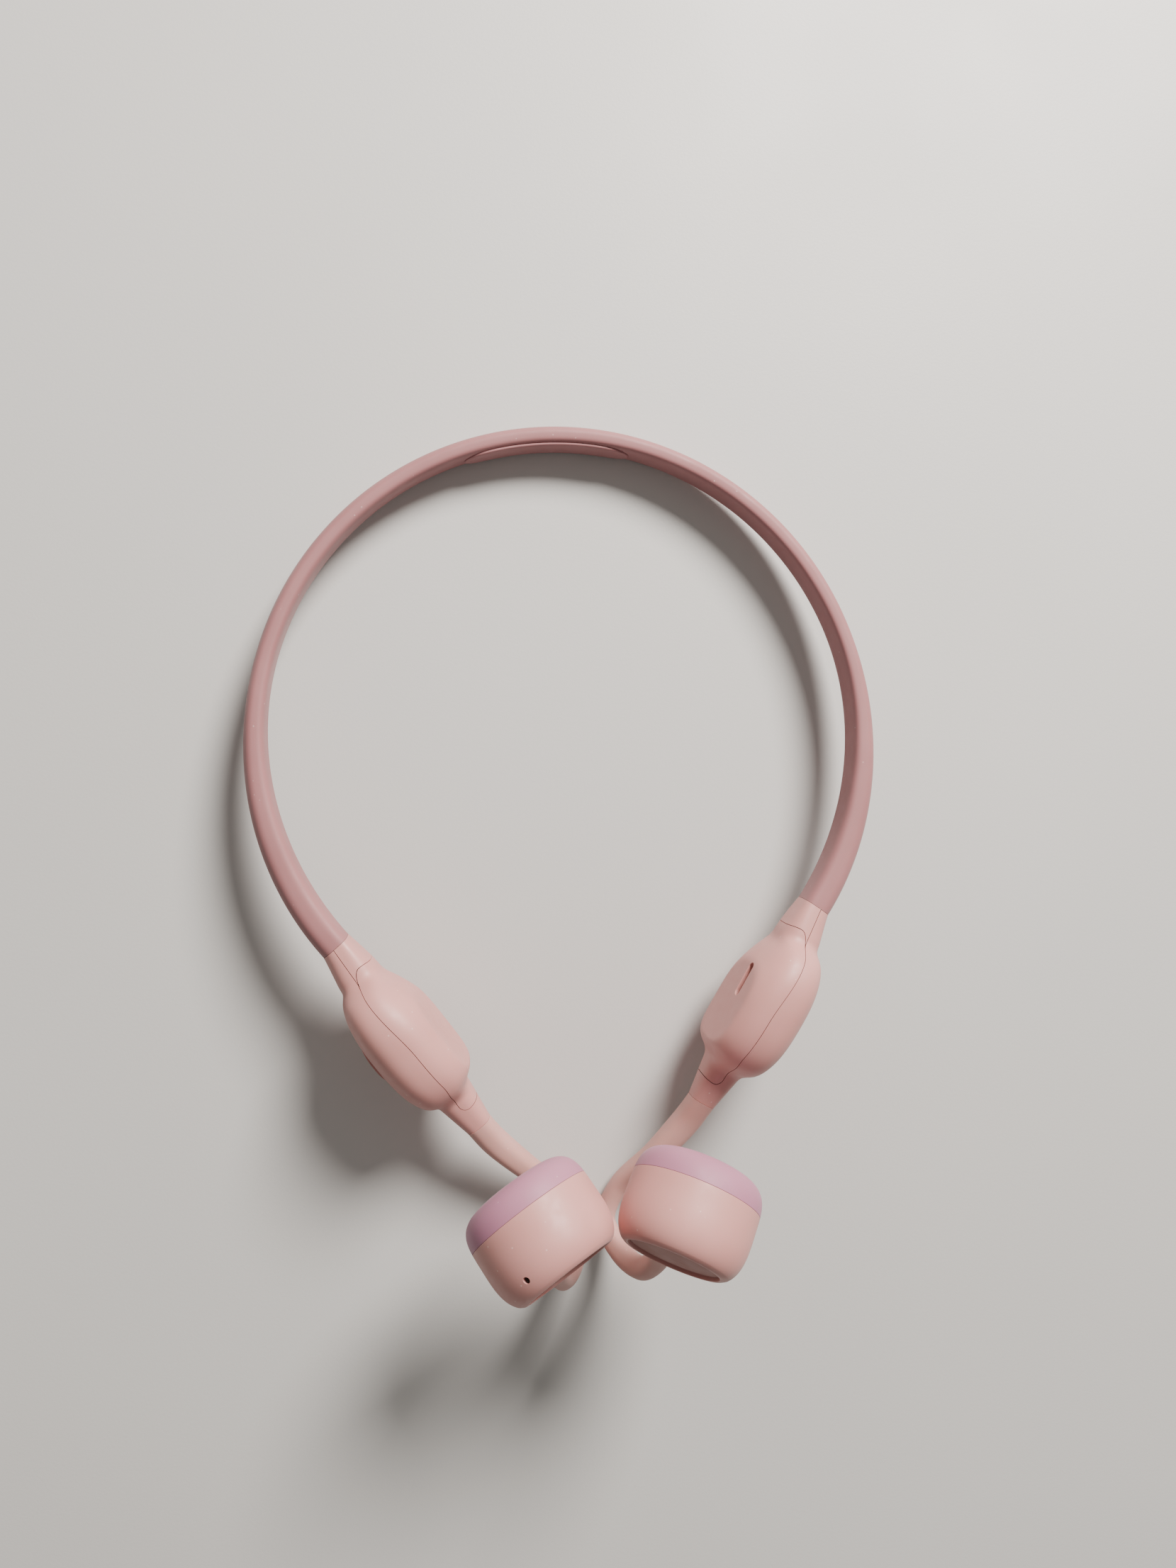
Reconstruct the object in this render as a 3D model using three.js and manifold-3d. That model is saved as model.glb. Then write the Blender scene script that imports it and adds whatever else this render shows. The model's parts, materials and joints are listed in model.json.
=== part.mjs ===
// Bone conduction headset with a springy neckband, two pods, two ear hooks and two transducers.
// Millimetres, +Z up. The headset is upside down, as it is put down on a table: it stands on the
// undersides of its ear hooks and on the back of its neckband. +Y is the back of the neckband and +X is
// the side of the pod with the controls. The origin is the middle of the bounding box's bottom face.
import * as THREE from "three";
import { mergeVertices } from "three/addons/utils/BufferGeometryUtils.js";
import Module from "manifold-3d";

const wasm = await Module();
wasm.setup();

// ---- Driving dimensions ----

const GAP = 0.3; // between neighbouring solids that are fixed to each other
const OVERSHOOT = 4; // how far a cutting tool runs past what it cuts

// Neckband: a circular arc, pitched up towards the pods.
const BAND_OUTER_WIDTH = 124;
const BAND_THICKNESS = 3.8; // radial, at the back
const BAND_HEIGHT = 8;
const BAND_HALF_ARC = THREE.MathUtils.degToRad(128);
const BAND_RISE = 11; // from the back of the band to the pods
const BAND_END_THICKNESS = 6; // radial, where the band meets a pod's neck
const PAD_HALF_ARC = THREE.MathUtils.degToRad(16.5); // the moulded pad inside the middle of the band
const PAD_THICKNESS = 0.7;
const PAD_HEIGHT = 6.4;

// Elastic bends of the band and of each arm, stood in for by hinges on upright axes.
const BAND_BEND_ARC = THREE.MathUtils.degToRad(40);
const BEND_CLEARANCE = 0.35;

// Spring wire and signal lead, side by side in one channel.
const WIRE_DIAMETER = 1;
const LEAD_DIAMETER = 1.2;
const CORE_PITCH = 1.7; // from the wire's centre to the lead's
const CORE_CLEARANCE = 0.35;
const CORE_END_INSET = 1.5; // the cores stop this far from a bend's axis

// Pod: a disc with a neck towards the band and a tongue towards the arm.
const POD_HEADING = THREE.MathUtils.degToRad(33); // how far each pod points inwards
const POD_LENGTH = 45.5; // from the band's end to the arm
const POD_DROP = 2.6; // from the pod's neck to its tongue
const POD_WALL = 1.3;
const NECK_LENGTH = 5.4; // from the band's end to the rounded end of the inner cover
const TONGUE_LENGTH = 5.9; // from the other end of the inner cover to the arm
const COVER_END_RADIUS = 3.1;
const DISC_START = 9.5;
const DISC_END = 35.5;
const NECK_FLARE = 7; // length over which the neck widens from the band
const TONGUE_FLARE = 8.5; // length over which the tongue narrows to the arm
const FLARE_WIDTH = 1.2; // how far both reach past their ends, to each side
const FLARE_HEIGHT = 1.8; // and up and down
const DISC_INNER = 6.9; // from the parting plane to the flat face on the head's side
const DISC_INNER_CROWN = 7.6; // the crown that the flat face cuts
const DISC_OUTER = 7.4; // from the parting plane to the crown on the far side
const FACE_RAMP = 0.5; // share of the disc over which the flat face rises from the neck
const FACE_STEP = 0.7; // share of the disc at which it starts to drop to the tongue
const DISC_ABOVE = 13.6;
const DISC_BELOW = 9;
const NECK_HALF_HEIGHT = BAND_HEIGHT / 2;
const ARM_HALF_WIDTH = 2.7; // across the arm, at the pod
const ARM_HALF_HEIGHT = 3.1;

// Ear hook.
const HOOK_HALF_WIDTH = 1.9;
const HOOK_HALF_HEIGHT = 2.3;
const HOOK_BEND_DISTANCE = 5; // from the pod's tongue to the arm's elastic bend
const HOOK_INSIDE = 2.7; // from the headset's mid-plane to the hook's centre line, at its closest
const HOOK_REACH = 32; // from the pod's tongue to the front of the hook, measured towards the front

// Transducer barrel.
const BARREL_RADIUS = 12;
const BARREL_LENGTH = 17.5;
const BARREL_WALL = 1.3;
const BARREL_HEIGHT = 40; // of its centre, above the undersides of the hooks
const BARREL_SPARE = 1.4; // between the barrel's cylinder and the mid-plane
const BARREL_SETBACK = 10.2; // from the pod's tongue to its centre, towards the front
const BARREL_ELEVATION = THREE.MathUtils.degToRad(27);
const BARREL_HEADING = THREE.MathUtils.degToRad(33);
const CAP_LENGTH = 5.4;
const CAP_FLAT_RADIUS = 7;
const PLATE_RADIUS = 8.4;
const PLATE_THICKNESS = 1;
const PLATE_RECESS = 0.35;
const FACE_RIM = 0.7; // flat rim round the front plate
const MIC_HOLE_RADIUS = 0.7;
const MIC_ANGLE = THREE.MathUtils.degToRad(-30); // round the barrel from its top

// Transducer motor, inside the barrel.
const YOKE_RADIUS = 7.6;
const YOKE_DEPTH = 4.6;
const YOKE_WALL = 0.9;
const MAGNET_RADIUS = 4.6;
const MAGNET_THICKNESS = 2.4;
const COIL_WALL = 0.7;
const COIL_HEIGHT = 2.6;
const VIBRATOR_THICKNESS = 0.8;

// Controls and electronics.
const BUTTON_TRAVEL = 0.5;
const BUTTON_PROUD = 0.6;
const BUTTON_CLEARANCE = 0.2;
const BUTTON_FLANGE = 0.8; // wider than the stem, all round
const BUTTON_FLANGE_THICKNESS = 0.7;
const VOLUME_BUTTON_RADIUS = 2.3;
const VOLUME_BUTTON_SPACING = 8;
const CALL_BUTTON_RADIUS = 4.4;
const BUTTON_OFFSET = 3.4; // of the volume buttons, from the parting plane
const DOME_THICKNESS = 1;
const LED_RADIUS = 0.8;
const CHARGE_SLOT = { length: 7.4, width: 2.4, depth: 0.8, along: 19.3, above: 4 };
const CHARGE_PIN_RADIUS = 0.55;
const CHARGE_PIN_SPACING = 3.6;
const BOARD = { length: 17, height: 12, thickness: 1 };
const BATTERY = { length: 15, height: 12, thickness: 4.2 };

// ---- Values worked out from the driving dimensions ----

const BAND_RADIUS = (BAND_OUTER_WIDTH - BAND_THICKNESS) / 2; // of the centre line
const BARREL_HALF_SPACING = BARREL_RADIUS + BARREL_SPARE;
const COVER_START = NECK_LENGTH;
const COVER_END = POD_LENGTH - TONGUE_LENGTH;
const DISC_MIDDLE = (DISC_START + DISC_END) / 2;
const Z = new THREE.Vector3(0, 0, 1);

// ---- Materials ----

const finish = (color, roughness, metalness = 0) =>
  new THREE.MeshStandardMaterial({ color, roughness, metalness });
const BAND_SILICONE = finish("#c9a3a4", 0.62);
const POD_PLASTIC = finish("#efd6d2", 0.5);
const ARM_SILICONE = finish("#ecc6bb", 0.6);
const CAP_SILICONE = finish("#d0b0ba", 0.62);
const PLATE_PLASTIC = finish("#ad8783", 0.6);
const BUTTON_SILICONE = finish("#e9ccc8", 0.55);
const TITANIUM = finish("#a9a6a0", 0.35, 1);
const COPPER = finish("#b0693d", 0.4, 1);
const GOLD = finish("#d8b468", 0.25, 1);
const STEEL = finish("#b8babd", 0.3, 1);
const MAGNET_NICKEL = finish("#c4c4c6", 0.22, 1);
const BOARD_GREEN = finish("#2f6b45", 0.55);
const CELL_FOIL = finish("#c8cacd", 0.35, 0.8);
const LEAD_JACKET = finish("#3b3b3f", 0.6);
const BLACK_PLASTIC = finish("#2a2a2c", 0.5);
const LENS = finish("#f4f0ee", 0.25);

// ---- Solid modelling helpers ----

// A closed geometry as a manifold-3d solid.
function solidOf(geometry) {
  const bare = new THREE.BufferGeometry();
  bare.setAttribute("position", geometry.getAttribute("position"));
  bare.setIndex(geometry.index);
  const merged = mergeVertices(bare, 1e-4);
  const vertProperties = new Float32Array(merged.attributes.position.array);
  const triVerts = new Uint32Array(merged.index.array);
  const solid = new wasm.Manifold(new wasm.Mesh({ numProp: 3, vertProperties, triVerts }));
  if (solid.volume() > 0) return solid;
  // A mirroring frame turned the faces inwards.
  for (let i = 0; i < triVerts.length; i += 3)
    [triVerts[i + 1], triVerts[i + 2]] = [triVerts[i + 2], triVerts[i + 1]];
  return new wasm.Manifold(new wasm.Mesh({ numProp: 3, vertProperties, triVerts }));
}

// A manifold-3d solid as a geometry.
function geometryOf(solid) {
  const mesh = solid.getMesh();
  const geometry = new THREE.BufferGeometry();
  geometry.setAttribute("position", new THREE.BufferAttribute(mesh.vertProperties, mesh.numProp));
  geometry.setIndex(new THREE.BufferAttribute(mesh.triVerts, 1));
  return geometry;
}

const box = (length, width, height, matrix) =>
  solidOf(new THREE.BoxGeometry(length, width, height).applyMatrix4(matrix));

// A cylinder along the local Y axis of a placing matrix.
const cylinder = (radius, length, matrix, segments = 24) =>
  solidOf(new THREE.CylinderGeometry(radius, radius, length, segments).applyMatrix4(matrix));

// An upright cylinder through a point.
const post = (point, radius, height, segments = 32) =>
  cylinder(
    radius,
    height,
    new THREE.Matrix4().makeTranslation(point.x, point.y, point.z).multiply(uprightTurn()),
    segments,
  );
const uprightTurn = () => new THREE.Matrix4().makeRotationX(Math.PI / 2);

// A closed solid swept along a path. frameAt(t) gives the path's point and its side and up directions,
// and sectionAt(t, angle) the section's offsets along them, for t from 0 to 1.
function sweptSolid(frameAt, sectionAt, sides, steps) {
  const geometry = new THREE.CylinderGeometry(1, 1, 1, sides, steps);
  const position = geometry.attributes.position;
  const point = new THREE.Vector3();
  for (let i = 0; i < position.count; i++) {
    point.fromBufferAttribute(position, i);
    const t = 0.5 - point.y;
    const radius = Math.hypot(point.x, point.z);
    const { origin, side, up } = frameAt(t);
    const [across, upwards] = sectionAt(t, Math.atan2(point.z, point.x));
    point.copy(origin).addScaledVector(side, across * radius).addScaledVector(up, upwards * radius);
    position.setXYZ(i, point.x, point.y, point.z);
  }
  return solidOf(geometry);
}

// A rounded section: a superellipse with its own reach on each of its four sides.
function roundedSection(angle, reach, power) {
  const shaped = (value) => Math.sign(value) * Math.abs(value) ** (2 / power);
  const across = shaped(Math.cos(angle));
  const upwards = shaped(Math.sin(angle));
  return [
    across * (across > 0 ? reach.outer : reach.inner),
    upwards * (upwards > 0 ? reach.above : reach.below),
  ];
}

const evenReach = (halfWidth, halfHeight) => ({
  outer: halfWidth,
  inner: halfWidth,
  above: halfHeight,
  below: halfHeight,
});

const grownReach = (reach, extra) => ({
  outer: reach.outer + extra,
  inner: reach.inner + extra,
  above: reach.above + extra,
  below: reach.below + extra,
});

const smooth = THREE.MathUtils.smoothstep;
const mix = THREE.MathUtils.lerp;

function part(name, shape, material) {
  const mesh = new THREE.Mesh(shape.isBufferGeometry ? shape : geometryOf(shape), material);
  mesh.name = name;
  return mesh;
}

// ---- Neckband ----

// The band's frame at an arc from the back of the neck, positive towards +X.
function bandFrame(arc) {
  const y = BAND_RADIUS * Math.cos(arc);
  const slope = BAND_RISE / (BAND_RADIUS * (1 - Math.cos(BAND_HALF_ARC)));
  return {
    origin: new THREE.Vector3(
      BAND_RADIUS * Math.sin(arc),
      y,
      BAND_HEIGHT / 2 + (BAND_RADIUS - y) * slope,
    ),
    side: new THREE.Vector3(Math.sin(arc), Math.cos(arc), 0),
    up: Z,
  };
}

// The band thickens towards its ends. Its inner side is flatter than its outer one.
function bandReach(arc) {
  const share = smooth(Math.abs(arc), BAND_HALF_ARC * 0.55, BAND_HALF_ARC);
  return evenReach(mix(BAND_THICKNESS, BAND_END_THICKNESS, share) / 2, BAND_HEIGHT / 2);
}

const BAND_POWER = 2.9;

function bandSweep(from, to, sides, steps, extra = 0) {
  return sweptSolid(
    (t) => bandFrame(mix(from, to, t)),
    (t, angle) => roundedSection(angle, grownReach(bandReach(mix(from, to, t)), extra), BAND_POWER),
    sides,
    steps,
  );
}

// A round core along the band, raised above or lowered below the centre line.
function bandCore(from, to, diameter, raised, steps) {
  return sweptSolid(
    (t) => {
      const frame = bandFrame(mix(from, to, t));
      frame.origin.z += raised;
      return frame;
    },
    (t, angle) => [(Math.cos(angle) * diameter) / 2, (Math.sin(angle) * diameter) / 2],
    6,
    steps,
  );
}

// The channel that holds the wire and the lead.
const CHANNEL = {
  halfWidth: LEAD_DIAMETER / 2 + CORE_CLEARANCE,
  halfHeight: CORE_PITCH / 2 + LEAD_DIAMETER / 2 + CORE_CLEARANCE,
};
const channelSection = (angle) =>
  roundedSection(angle, evenReach(CHANNEL.halfWidth, CHANNEL.halfHeight), 4);

function bandChannel(from, to, steps) {
  return sweptSolid((t) => bandFrame(mix(from, to, t)), (t, angle) => channelSection(angle), 8, steps);
}

// Where an elastic bend's axis stands, with the radius that its rounded end turns in.
const bandBend = { ...bandFrame(BAND_BEND_ARC), radius: BAND_THICKNESS / 2 };
const BAND_BEND_OVERLAP = (BAND_THICKNESS / 2 + GAP) / BAND_RADIUS;

function makeBandMiddle() {
  const reach = BAND_BEND_ARC + BAND_BEND_OVERLAP;
  let sleeve = bandSweep(-BAND_BEND_ARC, BAND_BEND_ARC, 12, 14).subtract(
    bandChannel(-reach, reach, 12),
  );
  for (const arc of [-BAND_BEND_ARC, BAND_BEND_ARC]) {
    const { origin } = bandFrame(arc);
    sleeve = sleeve.subtract(post(origin, bandBend.radius + BEND_CLEARANCE, BAND_HEIGHT * 3));
  }
  return sleeve;
}

// The right-hand part of the band, from its bend to the pod, with a rounded end that turns in the middle.
function makeBandSide() {
  const start = BAND_BEND_ARC - BAND_BEND_OVERLAP;
  const knuckle = bandSweep(start, BAND_BEND_ARC + BAND_BEND_OVERLAP, 12, 3).intersect(
    post(bandBend.origin, bandBend.radius, BAND_HEIGHT * 3),
  );
  return bandSweep(BAND_BEND_ARC, BAND_HALF_ARC - GAP / BAND_RADIUS, 12, 15)
    .add(knuckle)
    .subtract(bandChannel(start - BAND_BEND_OVERLAP, BAND_HALF_ARC + BAND_BEND_OVERLAP, 14));
}

// The moulded pad on the inner side of the band's middle.
function makeBandPad() {
  const frameAt = (t) => {
    const arc = mix(-PAD_HALF_ARC, PAD_HALF_ARC, t);
    const frame = bandFrame(arc);
    frame.origin.addScaledVector(frame.side, -(BAND_THICKNESS / 2 + GAP + PAD_THICKNESS / 2));
    return frame;
  };
  const section = (t, angle) => {
    const taper = Math.sqrt(Math.max(0, 1 - Math.abs(2 * t - 1) ** 6)) * 0.6 + 0.4;
    return roundedSection(angle, evenReach(PAD_THICKNESS / 2, (PAD_HEIGHT / 2) * taper), 5);
  };
  return sweptSolid(frameAt, section, 12, 10);
}

// ---- Pod ----

const bandEnd = bandFrame(BAND_HALF_ARC).origin;
const forward = new THREE.Vector3(-Math.sin(POD_HEADING), -Math.cos(POD_HEADING), 0);
const outward = new THREE.Vector3(Math.cos(POD_HEADING), -Math.sin(POD_HEADING), 0);

// A point of the pod from its distance along the pod, its offset towards the far side and its height
// above the pod's axis.
function podPoint(along, across, above) {
  const share = along / POD_LENGTH;
  return bandEnd
    .clone()
    .addScaledVector(forward, along)
    .addScaledVector(outward, across)
    .add(new THREE.Vector3(0, 0, above - POD_DROP * share * share));
}

// A matrix with local X along the pod, local Y towards the far side and local Z up.
function podPlace(along, across, above) {
  return new THREE.Matrix4()
    .makeBasis(forward, outward, Z)
    .setPosition(podPoint(along, across, above));
}

// How far the pod reaches on each side, from its neck through its disc to its tongue.
function podReach(along) {
  const share = smooth(along / POD_LENGTH, 0.1, 0.9);
  const flare =
    THREE.MathUtils.clamp(along / NECK_FLARE, 0, 1) *
    THREE.MathUtils.clamp((POD_LENGTH - along) / TONGUE_FLARE, 0, 1);
  const base = evenReach(
    mix(BAND_END_THICKNESS / 2, ARM_HALF_WIDTH, share) + FLARE_WIDTH * flare,
    mix(NECK_HALF_HEIGHT, ARM_HALF_HEIGHT, share) + FLARE_HEIGHT * flare,
  );
  const half = (DISC_END - DISC_START) / 2;
  const offset = Math.min(1, Math.abs(along - DISC_MIDDLE) / (half + 1.2));
  const disc = Math.sqrt(Math.max(0, 1 - offset ** 2.6));
  const place = THREE.MathUtils.clamp((along - DISC_START) / (DISC_END - DISC_START), 0, 1);
  const ramp = 1 - (1 - Math.min(1, place / FACE_RAMP)) ** 1.9;
  const step = (1 - Math.max(0, (place - FACE_STEP) / (1 - FACE_STEP)) ** 3) ** 0.6;
  return {
    outer: mix(base.outer, DISC_OUTER, disc ** 1.25),
    inner: mix(base.inner, DISC_INNER_CROWN, Math.min(ramp, step)),
    above: mix(base.above, DISC_ABOVE, disc),
    below: mix(base.below, DISC_BELOW, disc),
  };
}

const POD_POWER = 2.7;

// Sections stand closer together where the disc meets the neck and the tongue.
const along = (from, to, shares) => shares.map((share) => mix(from, to, share));
const POD_STATIONS = [
  ...along(0, DISC_START, [0, 0.37, 0.68, 0.91]),
  ...along(DISC_START, DISC_END, [0.01, 0.06, 0.14, 0.25, 0.37, 0.5, 0.63, 0.75, 0.86, 0.94, 0.99]),
  ...along(DISC_END, POD_LENGTH - GAP, [0.09, 0.3, 0.55, 1]),
];

function podStation(t) {
  const place = t * (POD_STATIONS.length - 1);
  const index = Math.min(POD_STATIONS.length - 2, Math.floor(place));
  return mix(POD_STATIONS[index], POD_STATIONS[index + 1], place - index);
}

function podSweep(alongAt, extra, sides, steps) {
  return sweptSolid(
    (t) => ({ origin: podPoint(alongAt(t), 0, 0), side: outward, up: Z }),
    (t, angle) => {
      const reach = grownReach(podReach(alongAt(t)), extra);
      const [across, above] = roundedSection(angle, reach, POD_POWER);
      return [Math.max(across, -DISC_INNER - extra), above];
    },
    sides,
    steps,
  );
}

// The hollow inside the pod, with a bore through its neck and its tongue for the wire and the lead.
function podHollow() {
  const roomAt = (t) => mix(DISC_START + POD_WALL, DISC_END - POD_WALL, t);
  const room = podSweep(roomAt, -POD_WALL, 20, 12);
  const bore = sweptSolid(
    (t) => ({
      origin: podPoint(mix(-OVERSHOOT, POD_LENGTH + OVERSHOOT, t), 0, 0),
      side: outward,
      up: Z,
    }),
    (t, angle) => channelSection(angle),
    8,
    12,
  );
  return room.add(bore);
}

// The region of the inner cover: the head's side of the parting plane, with rounded ends on the neck
// and the tongue. Growing it leaves the seam round the cover.
function coverRegion(grow) {
  const depth = DISC_INNER + OVERSHOOT;
  const radius = COVER_END_RADIUS + grow;
  const start = COVER_START + COVER_END_RADIUS;
  const end = COVER_END - COVER_END_RADIUS;
  const across = grow - depth / 2;
  const strap = box(
    end - start,
    depth,
    radius * 2,
    podPlace((start + end) / 2, across, podDropAt((start + end) / 2)),
  );
  const roundEnd = (along) => cylinder(radius, depth, podPlace(along, across, 0));
  const disc = box(
    DISC_END - DISC_START + 2 * grow,
    depth,
    3 * DISC_ABOVE,
    podPlace(DISC_MIDDLE, across, 0),
  );
  return strap.add(roundEnd(start)).add(roundEnd(end)).add(disc);
}

// The small step between a straight bar and the pod's curved axis, averaged over the pod.
const podDropAt = (along) => (POD_DROP * (along / POD_LENGTH) ** 2) / 4;

const podSkin = podSweep(podStation, 0, 20, POD_STATIONS.length - 1);
const podShell = podSkin.subtract(podHollow());

const neckRegion = (grow) =>
  box(
    2 * (COVER_START + grow) - GAP,
    4 * BAND_END_THICKNESS,
    6 * BAND_HEIGHT,
    podPlace(0, grow - 2 * BAND_END_THICKNESS, 0),
  );

// The part of the pod's skin inside an inset, for pieces that follow the skin.
const insetSkin = (inset) => podSweep(podStation, -inset, 20, POD_STATIONS.length - 1);

// A charging recess with a rounded outline, sunk by a depth into the face on the head's side.
function slotTool(grow, inset) {
  const { length, width, along, above } = CHARGE_SLOT;
  const depth = DISC_INNER + OVERSHOOT;
  const radius = width / 2 + grow;
  const reach = (length - width) / 2;
  return box(2 * reach, depth, 2 * radius, podPlace(along, -depth / 2 - 1, above))
    .add(cylinder(radius, depth, podPlace(along - reach, -depth / 2 - 1, above)))
    .add(cylinder(radius, depth, podPlace(along + reach, -depth / 2 - 1, above)))
    .subtract(insetSkin(inset));
}

const pinPlace = (side) =>
  podPlace(CHARGE_SLOT.along + (side * CHARGE_PIN_SPACING) / 2, -DISC_INNER, CHARGE_SLOT.above);

// A contact pin that stands a little proud of the recess's floor and reaches into the pod.
const makeChargePin = (side) =>
  cylinder(CHARGE_PIN_RADIUS, 2 * POD_WALL + 2, pinPlace(side), 12).intersect(
    insetSkin(CHARGE_SLOT.depth - BUTTON_CLEARANCE),
  );

function makeInnerCover(withSlot) {
  let cover = podShell.intersect(coverRegion(0));
  if (!withSlot) return cover;
  cover = cover.subtract(slotTool(0, CHARGE_SLOT.depth));
  for (const side of [-1, 1])
    cover = cover.subtract(cylinder(CHARGE_PIN_RADIUS + GAP, 4 * POD_WALL + 4, pinPlace(side), 12));
  return cover;
}

// A magnet behind the charging recess, between the two pins.
const makeChargeMagnet = () =>
  box(
    CHARGE_PIN_SPACING - 2 * CHARGE_PIN_RADIUS - 2 * GAP,
    1.2,
    CHARGE_SLOT.width,
    podPlace(CHARGE_SLOT.along, -DISC_INNER + POD_WALL + GAP + 1.6, CHARGE_SLOT.above),
  );
const makeNeckClip = () => podShell.intersect(neckRegion(0)).subtract(coverRegion(GAP));

// Places of the push buttons: local Y points out of the pod, the way the button is seen.
const volumeButtonPlace = (side, depth) =>
  podPlace(DISC_MIDDLE + (side * VOLUME_BUTTON_SPACING) / 2, BUTTON_OFFSET, -depth).multiply(
    new THREE.Matrix4().makeRotationX(-Math.PI / 2),
  );
const callButtonPlace = (depth) => podPlace(DISC_MIDDLE, depth, 0);
const CALL_STACK = DISC_OUTER - POD_WALL - GAP - 0.5; // outer face of the call button's flange
const VOLUME_STACK = DISC_BELOW - POD_WALL - GAP - 1.2; // the same for a volume button

// A push button whose cap follows the pod's skin, with a flange inside that keeps it in.
function makeButton(radius, placeAt, stack) {
  const stemLength = 6;
  const stem = cylinder(radius, stemLength, placeAt(stack + stemLength / 2 - 0.1), 24);
  const flange = cylinder(
    radius + BUTTON_FLANGE,
    BUTTON_FLANGE_THICKNESS,
    placeAt(stack - BUTTON_FLANGE_THICKNESS / 2),
    24,
  );
  const roomAt = (t) => mix(DISC_START + POD_WALL + GAP, DISC_END - POD_WALL - GAP, t);
  return stem
    .intersect(insetSkin(-BUTTON_PROUD))
    .add(flange.intersect(podSweep(roomAt, -POD_WALL - GAP, 20, 12)));
}

// The dome switch behind a button, one travel away from it.
const makeDome = (radius, placeAt, stack) =>
  cylinder(
    radius,
    DOME_THICKNESS,
    placeAt(stack - BUTTON_FLANGE_THICKNESS - BUTTON_TRAVEL - GAP - DOME_THICKNESS / 2),
    16,
  );

const ledPlace = podPlace(DISC_START + 4.4, BUTTON_OFFSET, -DISC_BELOW / 2).multiply(
  new THREE.Matrix4().makeRotationX(-Math.PI / 2),
);
const makeLed = () =>
  cylinder(LED_RADIUS, DISC_BELOW, ledPlace, 16)
    .intersect(insetSkin(0))
    .intersect(
      box(8, 30, 30, podPlace(DISC_START + 4.4, 0, -15 - DISC_BELOW * 0.35)),
    );

function makeOuterShell(holes) {
  return holes.reduce(
    (shell, hole) => shell.subtract(hole),
    podShell.subtract(coverRegion(GAP)).subtract(neckRegion(GAP)),
  );
}

const buttonHole = (radius, placeAt, stack) =>
  cylinder(radius + BUTTON_CLEARANCE, 9, placeAt(stack + 1.5), 24);

const makeBoard = () =>
  box(BOARD.length, BOARD.thickness, BOARD.height, podPlace(DISC_MIDDLE, -1, 0.6));
const makeBattery = () =>
  box(BATTERY.length, BATTERY.thickness, BATTERY.height, podPlace(DISC_MIDDLE, -1.2, 0.6));

// ---- Ear hook ----

const armStart = podPoint(POD_LENGTH, 0, 0);

// Points of the hook's centre line: distance towards the front from the pod's tongue, distance from the
// mid-plane, and height.
const hookPoint = (front, inside, height) =>
  new THREE.Vector3(inside, armStart.y - front, height);
const barrelCentre = new THREE.Vector3(
  BARREL_HALF_SPACING,
  armStart.y - BARREL_SETBACK,
  BARREL_HEIGHT,
);
const barrelAxis = new THREE.Vector3(
  -Math.sin(BARREL_HEADING) * Math.cos(BARREL_ELEVATION),
  -Math.cos(BARREL_HEADING) * Math.cos(BARREL_ELEVATION),
  Math.sin(BARREL_ELEVATION),
);
// Straight down from the barrel's axis, square to it.
const barrelDown = Z.clone().negate().addScaledVector(barrelAxis, barrelAxis.z).normalize();
const hookEnd = barrelCentre
  .clone()
  .addScaledVector(barrelDown, BARREL_RADIUS - BARREL_WALL)
  .addScaledVector(barrelAxis, BARREL_LENGTH * 0.16);

const hookCurve = new THREE.CatmullRomCurve3(
  [
    armStart,
    podPoint(POD_LENGTH + HOOK_BEND_DISTANCE, 0, -1.2),
    hookPoint(HOOK_REACH * 0.37, HOOK_INSIDE + 10.4, HOOK_HALF_HEIGHT + 5.6),
    hookPoint(HOOK_REACH * 0.62, HOOK_INSIDE + 3, HOOK_HALF_HEIGHT + 0.8),
    hookPoint(HOOK_REACH * 0.84, HOOK_INSIDE, HOOK_HALF_HEIGHT + 0.42),
    hookPoint(HOOK_REACH * 0.98, HOOK_INSIDE + 2, HOOK_HALF_HEIGHT + 5.4),
    hookPoint(HOOK_REACH * 0.99, HOOK_INSIDE + 5, HOOK_HALF_HEIGHT + 13.2),
    hookPoint(HOOK_REACH * 0.8, HOOK_INSIDE + 7.6, HOOK_HALF_HEIGHT + 21.4),
    hookEnd,
  ],
  false,
  "centripetal",
);

const HOOK_LENGTH = hookCurve.getLength();

// The hook's frame at a share of its length. It runs on straight past both ends.
function hookFrame(t) {
  const held = THREE.MathUtils.clamp(t, 0, 1);
  const tangent = hookCurve.getTangentAt(held);
  const side = outward.clone().addScaledVector(tangent, -outward.dot(tangent)).normalize();
  const origin = hookCurve.getPointAt(held).addScaledVector(tangent, (t - held) * HOOK_LENGTH);
  return { origin, side, up: side.clone().cross(tangent) };
}

// The arm is as thick as the pod's tongue at first, slims to the hook and swells again at the barrel.
function hookReach(t) {
  const slim = smooth(t, 0.05, 0.4);
  const swell = 0.6 * smooth(t, 0.75, 1);
  return evenReach(
    mix(ARM_HALF_WIDTH, HOOK_HALF_WIDTH, slim) + swell,
    mix(ARM_HALF_HEIGHT, HOOK_HALF_HEIGHT, slim) + swell,
  );
}

function hookSweep(from, to, sectionAt, sides, steps) {
  return sweptSolid(
    (t) => hookFrame(mix(from, to, t)),
    (t, angle) => sectionAt(mix(from, to, t), angle),
    sides,
    steps,
  );
}

const armSection = (t, angle) => roundedSection(angle, hookReach(t), 2.6);
const HOOK_BEND = HOOK_BEND_DISTANCE / HOOK_LENGTH;
const hookBend = { ...hookFrame(HOOK_BEND), radius: hookReach(HOOK_BEND).outer };
const HOOK_BEND_OVERLAP = (hookBend.radius + GAP) / HOOK_LENGTH;

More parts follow.
